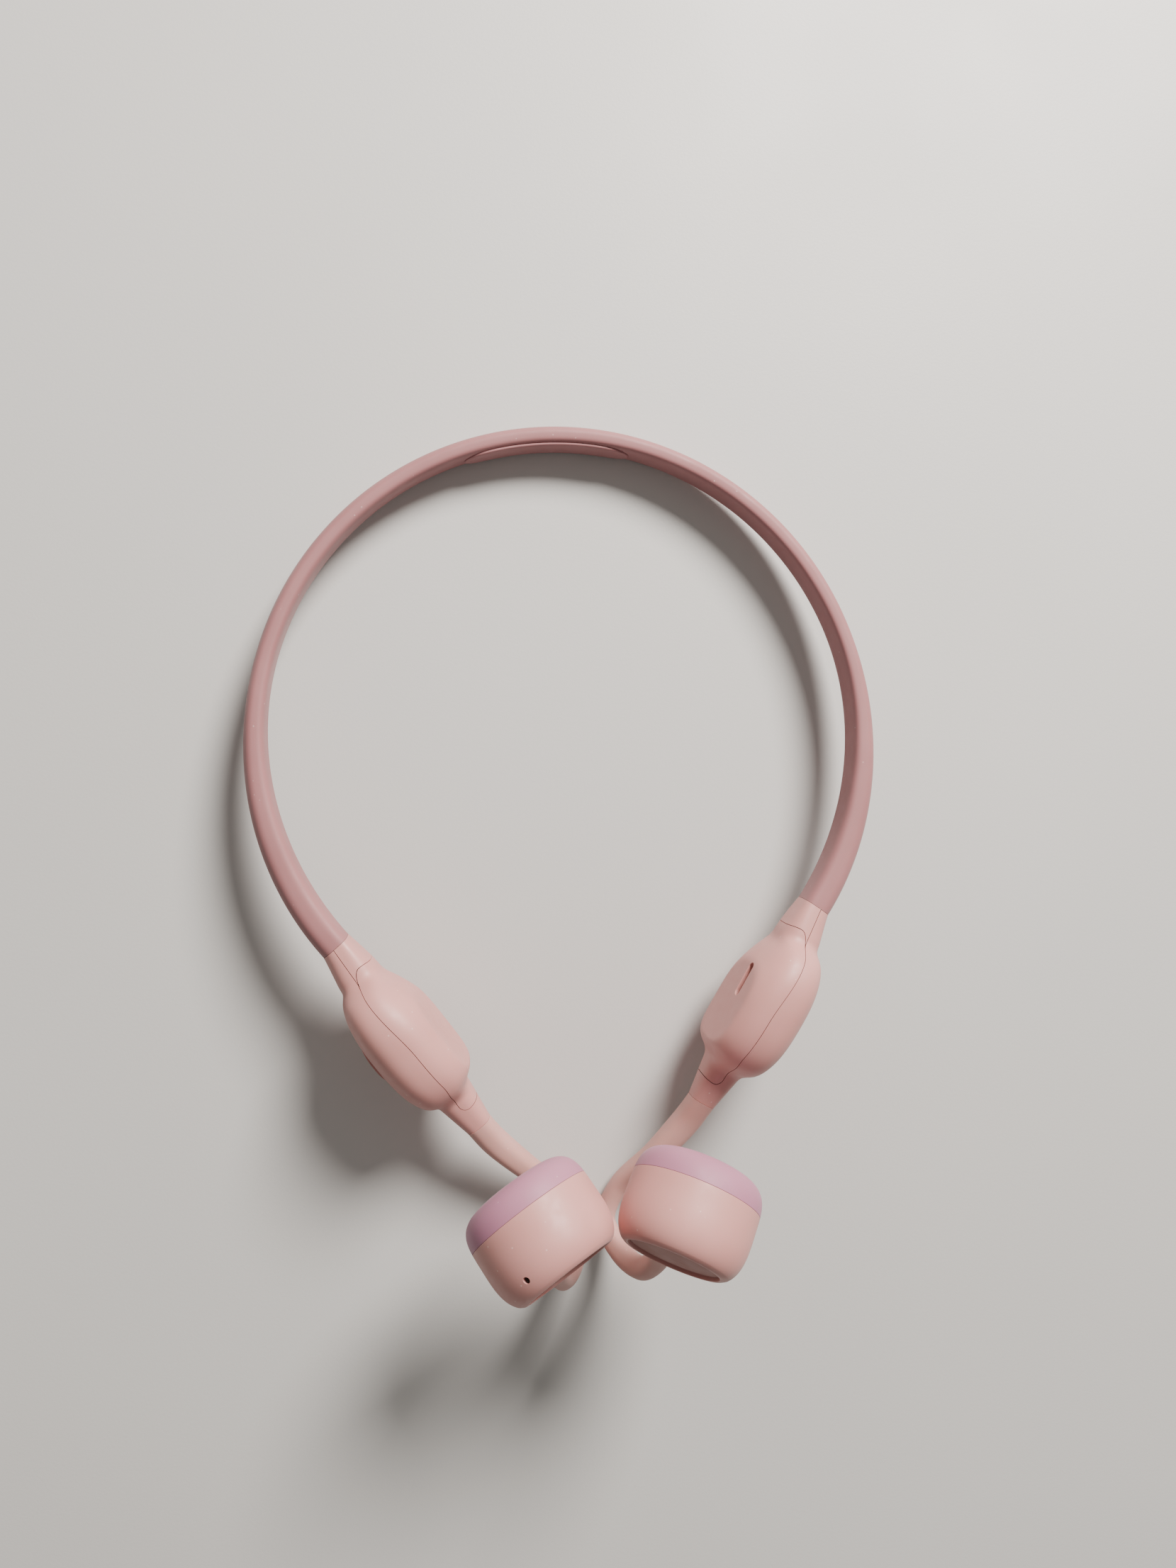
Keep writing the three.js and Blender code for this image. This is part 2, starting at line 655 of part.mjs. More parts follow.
const hookChannel = (from, to, steps) =>
  hookSweep(from, to, (t, angle) => channelSection(angle), 8, steps);

// Everything in front of a distance along the pod's heading.
const beyondPod = (along) => box(100, 200, 200, podPlace(along + 50, 0, 0));

// The short fixed end of the arm, hollowed for the rounded end of the hook.
function makeArmRoot() {
  return hookSweep(-HOOK_BEND, HOOK_BEND, armSection, 14, 5)
    .intersect(beyondPod(POD_LENGTH))
    .subtract(hookChannel(-HOOK_BEND_OVERLAP, HOOK_BEND + HOOK_BEND_OVERLAP, 3))
    .subtract(post(hookBend.origin, hookBend.radius + BEND_CLEARANCE, 8 * ARM_HALF_HEIGHT));
}

function makeHook() {
  const knuckle = hookSweep(
    HOOK_BEND - HOOK_BEND_OVERLAP,
    HOOK_BEND + HOOK_BEND_OVERLAP,
    armSection,
    12,
    2,
  ).intersect(post(hookBend.origin, hookBend.radius, 8 * ARM_HALF_HEIGHT));
  return hookSweep(HOOK_BEND - HOOK_BEND_OVERLAP, 1, armSection, 14, 24)
    .intersect(beyondPod(POD_LENGTH + HOOK_BEND_DISTANCE))
    .add(knuckle)
    .subtract(hookChannel(HOOK_BEND - 2 * HOOK_BEND_OVERLAP, 1.02, 21))
    .subtract(barrelSkin(GAP));
}

// A round core along the hook, beside the centre line in the plane of the hook.
function hookCore(diameter, raised) {
  const from = HOOK_BEND + (hookBend.radius + CORE_END_INSET) / HOOK_LENGTH;
  const to = 1 - (BARREL_WALL + CORE_END_INSET) / HOOK_LENGTH;
  return hookSweep(
    from,
    to,
    (t, angle) => [
      (Math.cos(angle) * diameter) / 2,
      raised + (Math.sin(angle) * diameter) / 2,
    ],
    6,
    16,
  ).subtract(barrelSkin(GAP));
}

// ---- Transducer barrel ----

// A matrix with local Y along the barrel's axis, from its cap to its front plate.
const barrelPlace = (along) =>
  new THREE.Matrix4()
    .makeBasis(
      barrelDown.clone().cross(barrelAxis).negate(),
      barrelAxis,
      barrelDown,
    )
    .setPosition(barrelCentre.clone().addScaledVector(barrelAxis, along));

// The barrel's outer radius at a distance along its axis from its middle.
function barrelRadius(along) {
  const share = along / (BARREL_LENGTH / 2);
  const end = share > 0 ? PLATE_RADIUS + FACE_RIM : CAP_FLAT_RADIUS;
  const power = share > 0 ? 3.2 : 4.4;
  return mix(end, BARREL_RADIUS, (1 - Math.abs(share) ** power) ** (share > 0 ? 0.7 : 0.5));
}

// A solid of revolution about the barrel's axis. Each profile point is a radius and a distance along.
function turned(profile, segments = 28) {
  const points = profile.map(([radius, along]) => new THREE.Vector2(radius, along));
  return solidOf(new THREE.LatheGeometry(points, segments).applyMatrix4(barrelPlace(0)));
}

// The barrel's outline from one distance along its axis to another, grown or shrunk.
function barrelOutline(from, to, steps, grow = 0) {
  return Array.from({ length: steps + 1 }, (_, i) => {
    const along = mix(from, to, i / steps);
    return [barrelRadius(along) + grow, along];
  });
}

const HALF = BARREL_LENGTH / 2;
const CAP_EDGE = CAP_LENGTH - HALF;
const FRONT_WALL = HALF - PLATE_RECESS - PLATE_THICKNESS - GAP;

function barrelSkin(grow) {
  return turned([
    [0, -HALF - grow],
    [CAP_FLAT_RADIUS + grow, -HALF - grow],
    ...barrelOutline(-HALF + 0.6, HALF - 0.6, 10, grow),
    [PLATE_RADIUS + FACE_RIM + grow, HALF + grow],
    [0, HALF + grow],
  ]);
}

function makeCap() {
  const inside = CAP_EDGE;
  return turned([
    [0, -HALF],
    [CAP_FLAT_RADIUS, -HALF],
    ...barrelOutline(-HALF + 0.35, CAP_EDGE - GAP, 6),
    [barrelRadius(inside) - BARREL_WALL, CAP_EDGE - GAP],
    ...barrelOutline(-HALF + BARREL_WALL + 1, CAP_EDGE - GAP, 3, -BARREL_WALL).reverse().slice(1),
    [CAP_FLAT_RADIUS, -HALF + BARREL_WALL],
    [0, -HALF + BARREL_WALL],
  ]);
}

function makeHousing(withMic) {
  let housing = turned([
    [0, FRONT_WALL - BARREL_WALL],
    [PLATE_RADIUS - 0.4, FRONT_WALL - BARREL_WALL],
    ...barrelOutline(CAP_EDGE, FRONT_WALL - BARREL_WALL, 4, -BARREL_WALL).reverse(),
    ...barrelOutline(CAP_EDGE, HALF - 0.5, 7),
    [PLATE_RADIUS + FACE_RIM, HALF],
    [PLATE_RADIUS + GAP, HALF],
    [PLATE_RADIUS + GAP, FRONT_WALL],
    [0, FRONT_WALL],
  ]);
  return withMic ? housing.subtract(micTool(MIC_HOLE_RADIUS, -4)) : housing;
}

// A microphone's hole or capsule in the barrel's side, near its front plate.
function micTool(radius, depth) {
  const place = barrelPlace(HALF * 0.52)
    .multiply(new THREE.Matrix4().makeRotationY(MIC_ANGLE))
    .multiply(new THREE.Matrix4().makeTranslation(0, 0, -BARREL_RADIUS - depth / 2))
    .multiply(new THREE.Matrix4().makeRotationX(Math.PI / 2));
  return cylinder(radius, Math.abs(depth) + 1, place, 16);
}

const disc = (radius, from, to, segments) =>
  turned([[0, from], [radius, from], [radius, to], [0, to]], segments);

const makeFrontPlate = () =>
  turned([
    [0, FRONT_WALL + GAP],
    [PLATE_RADIUS, FRONT_WALL + GAP],
    [PLATE_RADIUS, HALF - PLATE_RECESS - 0.3],
    [PLATE_RADIUS - 0.3, HALF - PLATE_RECESS],
    [0, HALF - PLATE_RECESS],
  ]);

// The motor's pieces, stacked back from the inside of the front wall.
const VIBRATOR_FRONT = FRONT_WALL - BARREL_WALL - GAP;
const YOKE_FRONT = VIBRATOR_FRONT - VIBRATOR_THICKNESS - GAP;
const YOKE_BACK = YOKE_FRONT - YOKE_DEPTH;
const MAGNET_BACK = YOKE_BACK + YOKE_WALL + GAP;

const makeVibrator = () => disc(YOKE_RADIUS, VIBRATOR_FRONT - VIBRATOR_THICKNESS, VIBRATOR_FRONT, 24);
const makeYoke = () =>
  turned([
    [0, YOKE_BACK],
    [YOKE_RADIUS, YOKE_BACK],
    [YOKE_RADIUS, YOKE_FRONT],
    [YOKE_RADIUS - YOKE_WALL, YOKE_FRONT],
    [YOKE_RADIUS - YOKE_WALL, YOKE_BACK + YOKE_WALL],
    [0, YOKE_BACK + YOKE_WALL],
  ], 24);
const makeMagnet = () => disc(MAGNET_RADIUS, MAGNET_BACK, MAGNET_BACK + MAGNET_THICKNESS, 24);
const makeCoil = () => {
  const inner = MAGNET_RADIUS + 0.4;
  return turned([
    [inner, YOKE_FRONT - GAP - COIL_HEIGHT],
    [inner + COIL_WALL, YOKE_FRONT - GAP - COIL_HEIGHT],
    [inner + COIL_WALL, YOKE_FRONT - GAP],
    [inner, YOKE_FRONT - GAP],
    [inner, YOKE_FRONT - GAP - COIL_HEIGHT],
  ], 24);
};

// ---- Assembly ----

const headset = new THREE.Group();
const leftSide = new THREE.Group();
leftSide.scale.x = -1;
headset.add(leftSide);

const WIRE_RAISE = CORE_PITCH / 2;
const bendInset = (bend, length) => (bend.radius + CORE_END_INSET) / length;
const middleReach = BAND_BEND_ARC - bendInset(bandBend, BAND_RADIUS);
const sideStart = BAND_BEND_ARC + bendInset(bandBend, BAND_RADIUS);
const sideEnd = BAND_HALF_ARC - CORE_END_INSET / BAND_RADIUS;

headset.add(
  part("neckband_middle", makeBandMiddle(), BAND_SILICONE),
  part("neckband_inner_pad", makeBandPad(), BAND_SILICONE),
  part("middle_spring_wire", bandCore(-middleReach, middleReach, WIRE_DIAMETER, WIRE_RAISE, 14), TITANIUM),
  part("middle_lead", bandCore(-middleReach, middleReach, LEAD_DIAMETER, -WIRE_RAISE, 14), LEAD_JACKET),
);

const volumeButtons = [-1, 1].map((side) => (depth) => volumeButtonPlace(side, depth));
const holes = {
  right: [
    ...volumeButtons.map((placeAt) => buttonHole(VOLUME_BUTTON_RADIUS, placeAt, VOLUME_STACK)),
    cylinder(LED_RADIUS + GAP, 3 * DISC_BELOW, ledPlace, 16),
  ],
  left: [buttonHole(CALL_BUTTON_RADIUS, callButtonPlace, CALL_STACK)],
};

for (const [group, name] of [[headset, "right"], [leftSide, "left"]]) {
  group.add(
    part(`${name}_neckband`, makeBandSide(), BAND_SILICONE),
    part(`${name}_spring_wire`, bandCore(sideStart, sideEnd, WIRE_DIAMETER, WIRE_RAISE, 14), TITANIUM),
    part(`${name}_lead`, bandCore(sideStart, sideEnd, LEAD_DIAMETER, -WIRE_RAISE, 14), LEAD_JACKET),
    part(`${name}_neck_clip`, makeNeckClip(), POD_PLASTIC),
    part(`${name}_pod_inner_cover`, makeInnerCover(name === "right"), POD_PLASTIC),
    part(`${name}_pod_outer_shell`, makeOuterShell(holes[name]), POD_PLASTIC),
    part(`${name}_arm_root`, makeArmRoot(), ARM_SILICONE),
    part(`${name}_ear_hook`, makeHook(), ARM_SILICONE),
    part(`${name}_hook_wire`, hookCore(WIRE_DIAMETER, WIRE_RAISE), TITANIUM),
    part(`${name}_hook_lead`, hookCore(LEAD_DIAMETER, -WIRE_RAISE), LEAD_JACKET),
    part(`${name}_transducer_housing`, makeHousing(name === "left"), POD_PLASTIC),
    part(`${name}_transducer_cap`, makeCap(), CAP_SILICONE),
    part(`${name}_contact_plate`, makeFrontPlate(), PLATE_PLASTIC),
    part(`${name}_vibration_plate`, makeVibrator(), STEEL),
    part(`${name}_magnet_yoke`, makeYoke(), STEEL),
    part(`${name}_drive_magnet`, makeMagnet(), MAGNET_NICKEL),
    part(`${name}_voice_coil`, makeCoil(), COPPER),
  );
}

headset.add(
  ...volumeButtons.flatMap((placeAt, i) => [
    part(`volume_${["down", "up"][i]}_button`, makeButton(VOLUME_BUTTON_RADIUS, placeAt, VOLUME_STACK),
      BUTTON_SILICONE),
    part(`volume_${["down", "up"][i]}_switch`, makeDome(VOLUME_BUTTON_RADIUS - 0.8, placeAt, VOLUME_STACK), STEEL),
  ]),
  part("status_light", makeLed(), LENS),
  part("charge_contact_front", makeChargePin(1), GOLD),
  part("charge_contact_back", makeChargePin(-1), GOLD),
  part("charge_magnet", makeChargeMagnet(), MAGNET_NICKEL),
  part("circuit_board", makeBoard(), BOARD_GREEN),
);
leftSide.add(
  part("call_button", makeButton(CALL_BUTTON_RADIUS, callButtonPlace, CALL_STACK), BUTTON_SILICONE),
  part("call_switch", makeDome(CALL_BUTTON_RADIUS / 2, callButtonPlace, CALL_STACK), STEEL),
  part("battery", makeBattery(), CELL_FOIL),
);

headset.updateMatrixWorld(true);
const bounds = new THREE.Box3().setFromObject(headset);
headset.position.set(0, -(bounds.min.y + bounds.max.y) / 2, -bounds.min.z);

export default headset;
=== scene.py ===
"""Bone conduction headphones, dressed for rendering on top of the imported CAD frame.

The headphones lie upside down, on their ear hooks and the back of their neckband. Sizes are in
millimetres until a mesh is finished, and the frame is in metres.
"""

import json
import logging
import math
from bisect import bisect_left
from dataclasses import dataclass
from enum import Enum
from typing import Callable, Iterable, Sequence

import bmesh
import bpy
from mathutils import Matrix, Vector

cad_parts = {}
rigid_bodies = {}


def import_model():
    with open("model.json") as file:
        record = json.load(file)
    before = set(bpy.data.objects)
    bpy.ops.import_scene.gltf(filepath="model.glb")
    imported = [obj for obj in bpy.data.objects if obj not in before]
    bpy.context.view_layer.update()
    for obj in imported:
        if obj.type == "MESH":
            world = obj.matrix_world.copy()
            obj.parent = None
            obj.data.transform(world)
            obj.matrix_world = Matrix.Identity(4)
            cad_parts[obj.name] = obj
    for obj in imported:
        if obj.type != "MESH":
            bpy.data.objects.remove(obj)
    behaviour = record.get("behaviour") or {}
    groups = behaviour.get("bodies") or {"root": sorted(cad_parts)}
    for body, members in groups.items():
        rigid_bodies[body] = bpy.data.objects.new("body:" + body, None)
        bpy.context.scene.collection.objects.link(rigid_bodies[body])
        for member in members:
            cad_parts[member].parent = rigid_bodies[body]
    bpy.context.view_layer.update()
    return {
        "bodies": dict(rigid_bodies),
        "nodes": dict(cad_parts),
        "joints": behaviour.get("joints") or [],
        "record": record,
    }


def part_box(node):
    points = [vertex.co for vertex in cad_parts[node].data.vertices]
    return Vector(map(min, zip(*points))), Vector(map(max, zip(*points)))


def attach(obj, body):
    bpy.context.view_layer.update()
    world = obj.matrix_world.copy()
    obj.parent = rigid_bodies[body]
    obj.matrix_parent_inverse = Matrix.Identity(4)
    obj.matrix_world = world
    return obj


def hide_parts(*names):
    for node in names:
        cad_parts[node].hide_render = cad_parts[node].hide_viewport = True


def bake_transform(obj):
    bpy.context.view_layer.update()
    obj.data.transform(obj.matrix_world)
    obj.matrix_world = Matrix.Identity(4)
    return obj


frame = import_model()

logging.basicConfig(level=logging.INFO, format="%(name)s: %(message)s")
LOG = logging.getLogger("headphones")

MM = 0.001
Z = Vector((0.0, 0.0, 1.0))
BAND_OUTER_RADIUS = 62.0
# Points closer than this, in millimetres, are merged.
WELD = 1e-4
# Edges that turn by more degrees than this stay crisp.
CRISP = 38.0
# A facet so far out that a section has none.
NO_FACET = 1000.0


# ---- Small maths ----


def mix(low: float, high: float, share: float) -> float:
    """Returns the value a share of the way from low to high."""
    return low + (high - low) * share


def smooth(value: float, low: float, high: float) -> float:
    """Returns 0 below low and 1 above high, with an eased step between them."""
    share = min(1.0, max(0.0, (value - low) / (high - low)))
    return share * share * (3 - 2 * share)


def signed_power(value: float, power: float) -> float:
    """Returns a value raised to a power, with its sign kept."""
    return math.copysign(abs(value) ** power, value)


def soft_least(value: float, limit: float, blend: float = 0.35) -> float:
    """Returns the lesser of a value and a limit, with a rounded change from one to the other."""
    share = min(1.0, max(0.0, 0.5 + 0.5 * (limit - value) / blend))
    return mix(limit, value, share) - blend * share * (1 - share)


def spread(low: float, high: float, count: int) -> list[float]:
    """Returns count + 1 even steps from low to high."""
    return [mix(low, high, i / count) for i in range(count + 1)]


@dataclass(frozen=True)
class Station:
    """A place on a path, with the directions that a section is drawn in."""

    origin: Vector
    side: Vector
    up: Vector


@dataclass(frozen=True)
class Reach:
    """How far a section reaches on its four sides, how square its halves are, and its facet."""

    outer: float
    inner: float
    above: float
    below: float
    outer_power: float = 2.6
    inner_power: float = 2.6
    facet: float = NO_FACET
    facet_lean: float = 0.0

    @classmethod
    def even(cls, width: float, height: float, outer_power: float = 2.6,
             inner_power: float = 2.6) -> "Reach":
        """Returns a section of a full width and height about its centre."""
        return cls(width / 2, width / 2, height / 2, height / 2, outer_power, inner_power)

    def grown(self, extra: float) -> "Reach":
        """Returns the same section, larger by a margin all round."""
        return Reach(self.outer + extra, self.inner + extra, self.above + extra,
                     self.below + extra, self.outer_power, self.inner_power,
                     self.facet + extra, self.facet_lean)

    def point(self, turn: float) -> tuple[float, float]:
        """Finds a point of the outline.

        Args:
            turn: Angle round the section, from its outer side towards its top.

        Returns:
            The offsets along the section's side and up directions.
        """
        across, upwards = math.cos(turn), math.sin(turn)
        power = 2 / (self.outer_power if across > 0 else self.inner_power)
        height = signed_power(upwards, power) * (self.above if upwards > 0 else self.below)
        if across > 0:
            return across ** power * self.outer, height
        limit = self.facet - self.facet_lean * height
        return -soft_least(abs(across) ** power * self.inner, limit), height


# ---- Mesh helpers ----


def swept(station_at: Callable[[float], Station], reach_at: Callable[[float], Reach],
          steps: Sequence[float], sides: int) -> bmesh.types.BMesh:
    """Sweeps a section along a path by extruding one ring from station to station.

    Args:
        station_at: Gives the path's station at a step.
        reach_at: Gives the section at a step.
        steps: The places of the rings.
        sides: Points round a ring.

    Returns:
        A closed mesh with flat ends.
    """
    mesh = bmesh.new()
    turn = mesh.verts.layers.float.new("turn")
    ring = bmesh.ops.create_circle(mesh, cap_ends=False, radius=1.0, segments=sides)["verts"]
    for vertex in ring:
        vertex[turn] = math.atan2(vertex.co.y, vertex.co.x)
    edges = list(mesh.edges)
    ends = [edges]

    def place(vertices: Iterable[bmesh.types.BMVert], step: float) -> None:
        """Moves a ring's points onto the section at a step."""
        station, reach = station_at(step), reach_at(step)
        for vertex in vertices:
            across, upwards = reach.point(vertex[turn])
            vertex.co = station.origin + station.side * across + station.up * upwards

    place(ring, steps[0])
    for step in steps[1:]:
        made = bmesh.ops.extrude_edge_only(mesh, edges=edges)["geom"]
        vertices = [item for item in made if isinstance(item, bmesh.types.BMVert)]
        fresh = set(vertices)
        edges = [item for item in made
                 if isinstance(item, bmesh.types.BMEdge) and fresh.issuperset(item.verts)]
        place(vertices, step)
    ends.append(edges)
    for rim in ends:
        bmesh.ops.contextual_create(mesh, geom=rim)
        for edge in rim:
            edge.smooth = False
    bmesh.ops.recalc_face_normals(mesh, faces=mesh.faces)
    return mesh


def turned(profile: Sequence[tuple[float, float]], place: Matrix,
           segments: int = 96) -> bmesh.types.BMesh:
    """Spins a profile about an axis.

    Args:
        profile: Radius and distance along the axis of each point.
        place: Puts local Z on the axis.
        segments: Steps round.

    Returns:
        The spun mesh, with its doubled points merged.
    """
    mesh = bmesh.new()
    points = [mesh.verts.new((radius, 0.0, along)) for radius, along in profile]
    edges = [mesh.edges.new(pair) for pair in zip(points, points[1:])]
    bmesh.ops.spin(mesh, geom=points + edges, cent=(0, 0, 0), axis=(0, 0, 1), dvec=(0, 0, 0),
                   angle=math.tau, steps=segments, use_merge=True, use_duplicate=False)
    bmesh.ops.remove_doubles(mesh, verts=mesh.verts, dist=WELD)
    bmesh.ops.transform(mesh, matrix=place, verts=mesh.verts)
    bmesh.ops.recalc_face_normals(mesh, faces=mesh.faces)
    return mesh


def rounded(points: Sequence[tuple[float, float]], radii: dict[int, float],
            steps: int = 5) -> list[tuple[float, float]]:
    """Rounds named corners of an open profile.

    Args:
        points: The profile's corners.
        radii: How far each rounding starts from its corner, by the corner's number.
        steps: Steps in each rounding.

    Returns:
        The profile with each named corner replaced by a curve.
    """
    out: list[tuple[float, float]] = []
    for i, point in enumerate(points):
        if i not in radii:
            out.append(point)
            continue
        here = Vector(point)
        start = here + (Vector(points[i - 1]) - here).normalized() * radii[i]
        end = here + (Vector(points[i + 1]) - here).normalized() * radii[i]
        for k in range(steps + 1):
            s = k / steps
            spot = start * (1 - s) ** 2 + here * (2 * s * (1 - s)) + end * s ** 2
            out.append((spot.x, spot.y))
    return out


def peg(radius: float, top: float, root: float, rounding: float,
        place: Matrix) -> bmesh.types.BMesh:
    """Builds a round pin on a place's Z axis, with its top edge rounded.

    Args:
        radius: Of the pin.
        top: Height of its top over the place.
        root: Depth of its foot under the place.
        rounding: How far the rounding starts from the top edge.
        place: Puts the pin.

    Returns:
        The closed pin.
    """
    profile = [(0, top), (radius, top), (radius, -root), (0, -root)]
    return turned(rounded(profile, {1: rounding}), place, 32)


def quarter(centre: tuple[float, float], start: tuple[float, float],
            end: tuple[float, float], steps: int = 12) -> list[tuple[float, float]]:
    """Draws a quarter of an ellipse.

    Args:
        centre: The ellipse's centre.
        start: Offset from the centre of the first point.
        end: Offset from the centre of the last point.
        steps: Steps in the quarter.

    Returns:
        The points from start to end.
    """
    turns = [math.pi / 2 * i / steps for i in range(steps + 1)]
    return [tuple(c + a * math.cos(turn) + b * math.sin(turn)
                  for c, a, b in zip(centre, start, end)) for turn in turns]


def drum(radius: float, length: float, place: Matrix, segments: int = 48) -> bmesh.types.BMesh:
    """Returns a closed cylinder on a place's Z axis, centred on its origin."""
    mesh = bmesh.new()
    bmesh.ops.create_cone(mesh, cap_ends=True, segments=segments, radius1=radius, radius2=radius,
                          depth=length, matrix=place)
    return mesh


def block(size: Vector, place: Matrix) -> bmesh.types.BMesh:
    """Returns a box of a size about a place's origin."""
    mesh = bmesh.new()
    bmesh.ops.create_cube(mesh, size=1.0, matrix=place @ Matrix.Diagonal((*size, 1.0)))
    return mesh


def stadium(length: float, radius: float, depth: float, place: Matrix) -> bmesh.types.BMesh:
    """Builds a bar with round ends.

    Args:
        length: Between the centres of the round ends, along local X.
        radius: Of the round ends.
        depth: Along local Z.
        place: Puts the bar's centre.

    Returns:
        The closed bar.
    """
    mesh = bmesh.new()
    bmesh.ops.create_circle(mesh, cap_ends=True, radius=radius, segments=64)
    for vertex in mesh.verts:
        if abs(vertex.co.x) > 1e-6:
            vertex.co.x += math.copysign(length / 2, vertex.co.x)
    out = bmesh.ops.extrude_face_region(mesh, geom=list(mesh.faces))["geom"]
    top = [item for item in out if isinstance(item, bmesh.types.BMVert)]
    bmesh.ops.translate(mesh, verts=top, vec=(0, 0, depth))
    bmesh.ops.translate(mesh, verts=mesh.verts, vec=(0, 0, -depth / 2))
    bmesh.ops.transform(mesh, matrix=place, verts=mesh.verts)
    bmesh.ops.recalc_face_normals(mesh, faces=mesh.faces)
    return mesh


class Cut(Enum):
    """What a cutter does to a piece."""

    KEEP_INSIDE = "INTERSECT"
    TAKE_AWAY = "DIFFERENCE"


def plain_object(name: str, mesh: bmesh.types.BMesh) -> bpy.types.Object:
    """Turns a finished bmesh, in any unit, into a scene object and frees it."""
    data = bpy.data.meshes.new(name)
    mesh.to_mesh(data)
    mesh.free()
    obj = bpy.data.objects.new(name, data)
    bpy.context.scene.collection.objects.link(obj)
    return obj


def carve(body: bmesh.types.BMesh, steps: Sequence[tuple[Cut, bmesh.types.BMesh]]
          ) -> bmesh.types.BMesh:
    """Applies boolean cuts to a mesh, one after another.

    Args:
        body: The mesh that is cut. It is freed.
        steps: Each cut with its cutter, which is freed too.

    Returns:
        The cut mesh.
    """
    target = plain_object("carved", body)
    helpers = []
    for cut, cutter in steps:
        helper = plain_object("cutter", cutter)
        helpers.append(helper)
        modifier = target.modifiers.new("cut", "BOOLEAN")
        modifier.operation = cut.value
        modifier.solver = "EXACT"
        modifier.object = helper
    graph = bpy.context.evaluated_depsgraph_get()
    result = bmesh.new()
    result.from_mesh(target.evaluated_get(graph).to_mesh())
    for obj in [target, *helpers]:
        data = obj.data
        bpy.data.objects.remove(obj)
        bpy.data.meshes.remove(data)
    bmesh.ops.remove_doubles(result, verts=result.verts, dist=WELD)
    bmesh.ops.dissolve_degenerate(result, edges=result.edges, dist=WELD)
    return result


def mirror(mesh: bmesh.types.BMesh) -> None:
    """Moves a mesh to the other side of the mid-plane, with its faces out."""
    bmesh.ops.scale(mesh, vec=(-1, 1, 1), verts=mesh.verts)
    bmesh.ops.reverse_faces(mesh, faces=mesh.faces)


# ---- Finishes ----

# The part of a noise's range that most of its values fall in.
NOISE_RANGE = {"From Min": 0.3, "From Max": 0.7}
# The colour sockets of a Mix node, which share their names with its other kinds'.
MIX_A, MIX_B, MIX_RESULT = 6, 7, 2


def linear(hex_colour: str) -> tuple[float, float, float, float]:
    """Turns an sRGB hex colour to the linear colour that a shader takes."""
    channels = [int(hex_colour[i:i + 2], 16) / 255 for i in (1, 3, 5)]
    red, green, blue = (
        c / 12.92 if c <= 0.04045 else ((c + 0.055) / 1.055) ** 2.4 for c in channels
    )
    return red, green, blue, 1.0


def add_node(tree: bpy.types.NodeTree, kind: str, settings: dict | None = None,
             links: dict | None = None) -> bpy.types.Node:
    """Adds a shader node.

    Args:
        tree: The material's node tree.
        kind: The node's type.
        settings: Values of its properties, or of its inputs by their names.
        links: The output socket that feeds each input.

    Returns:
        The node.
    """
    node = tree.nodes.new(kind)
    for key, value in (settings or {}).items():
        if key in node.inputs:
            node.inputs[key].default_value = value
        else:
            setattr(node, key, value)
    for key, socket in (links or {}).items():
        tree.links.new(socket, node.inputs[key])
    return node


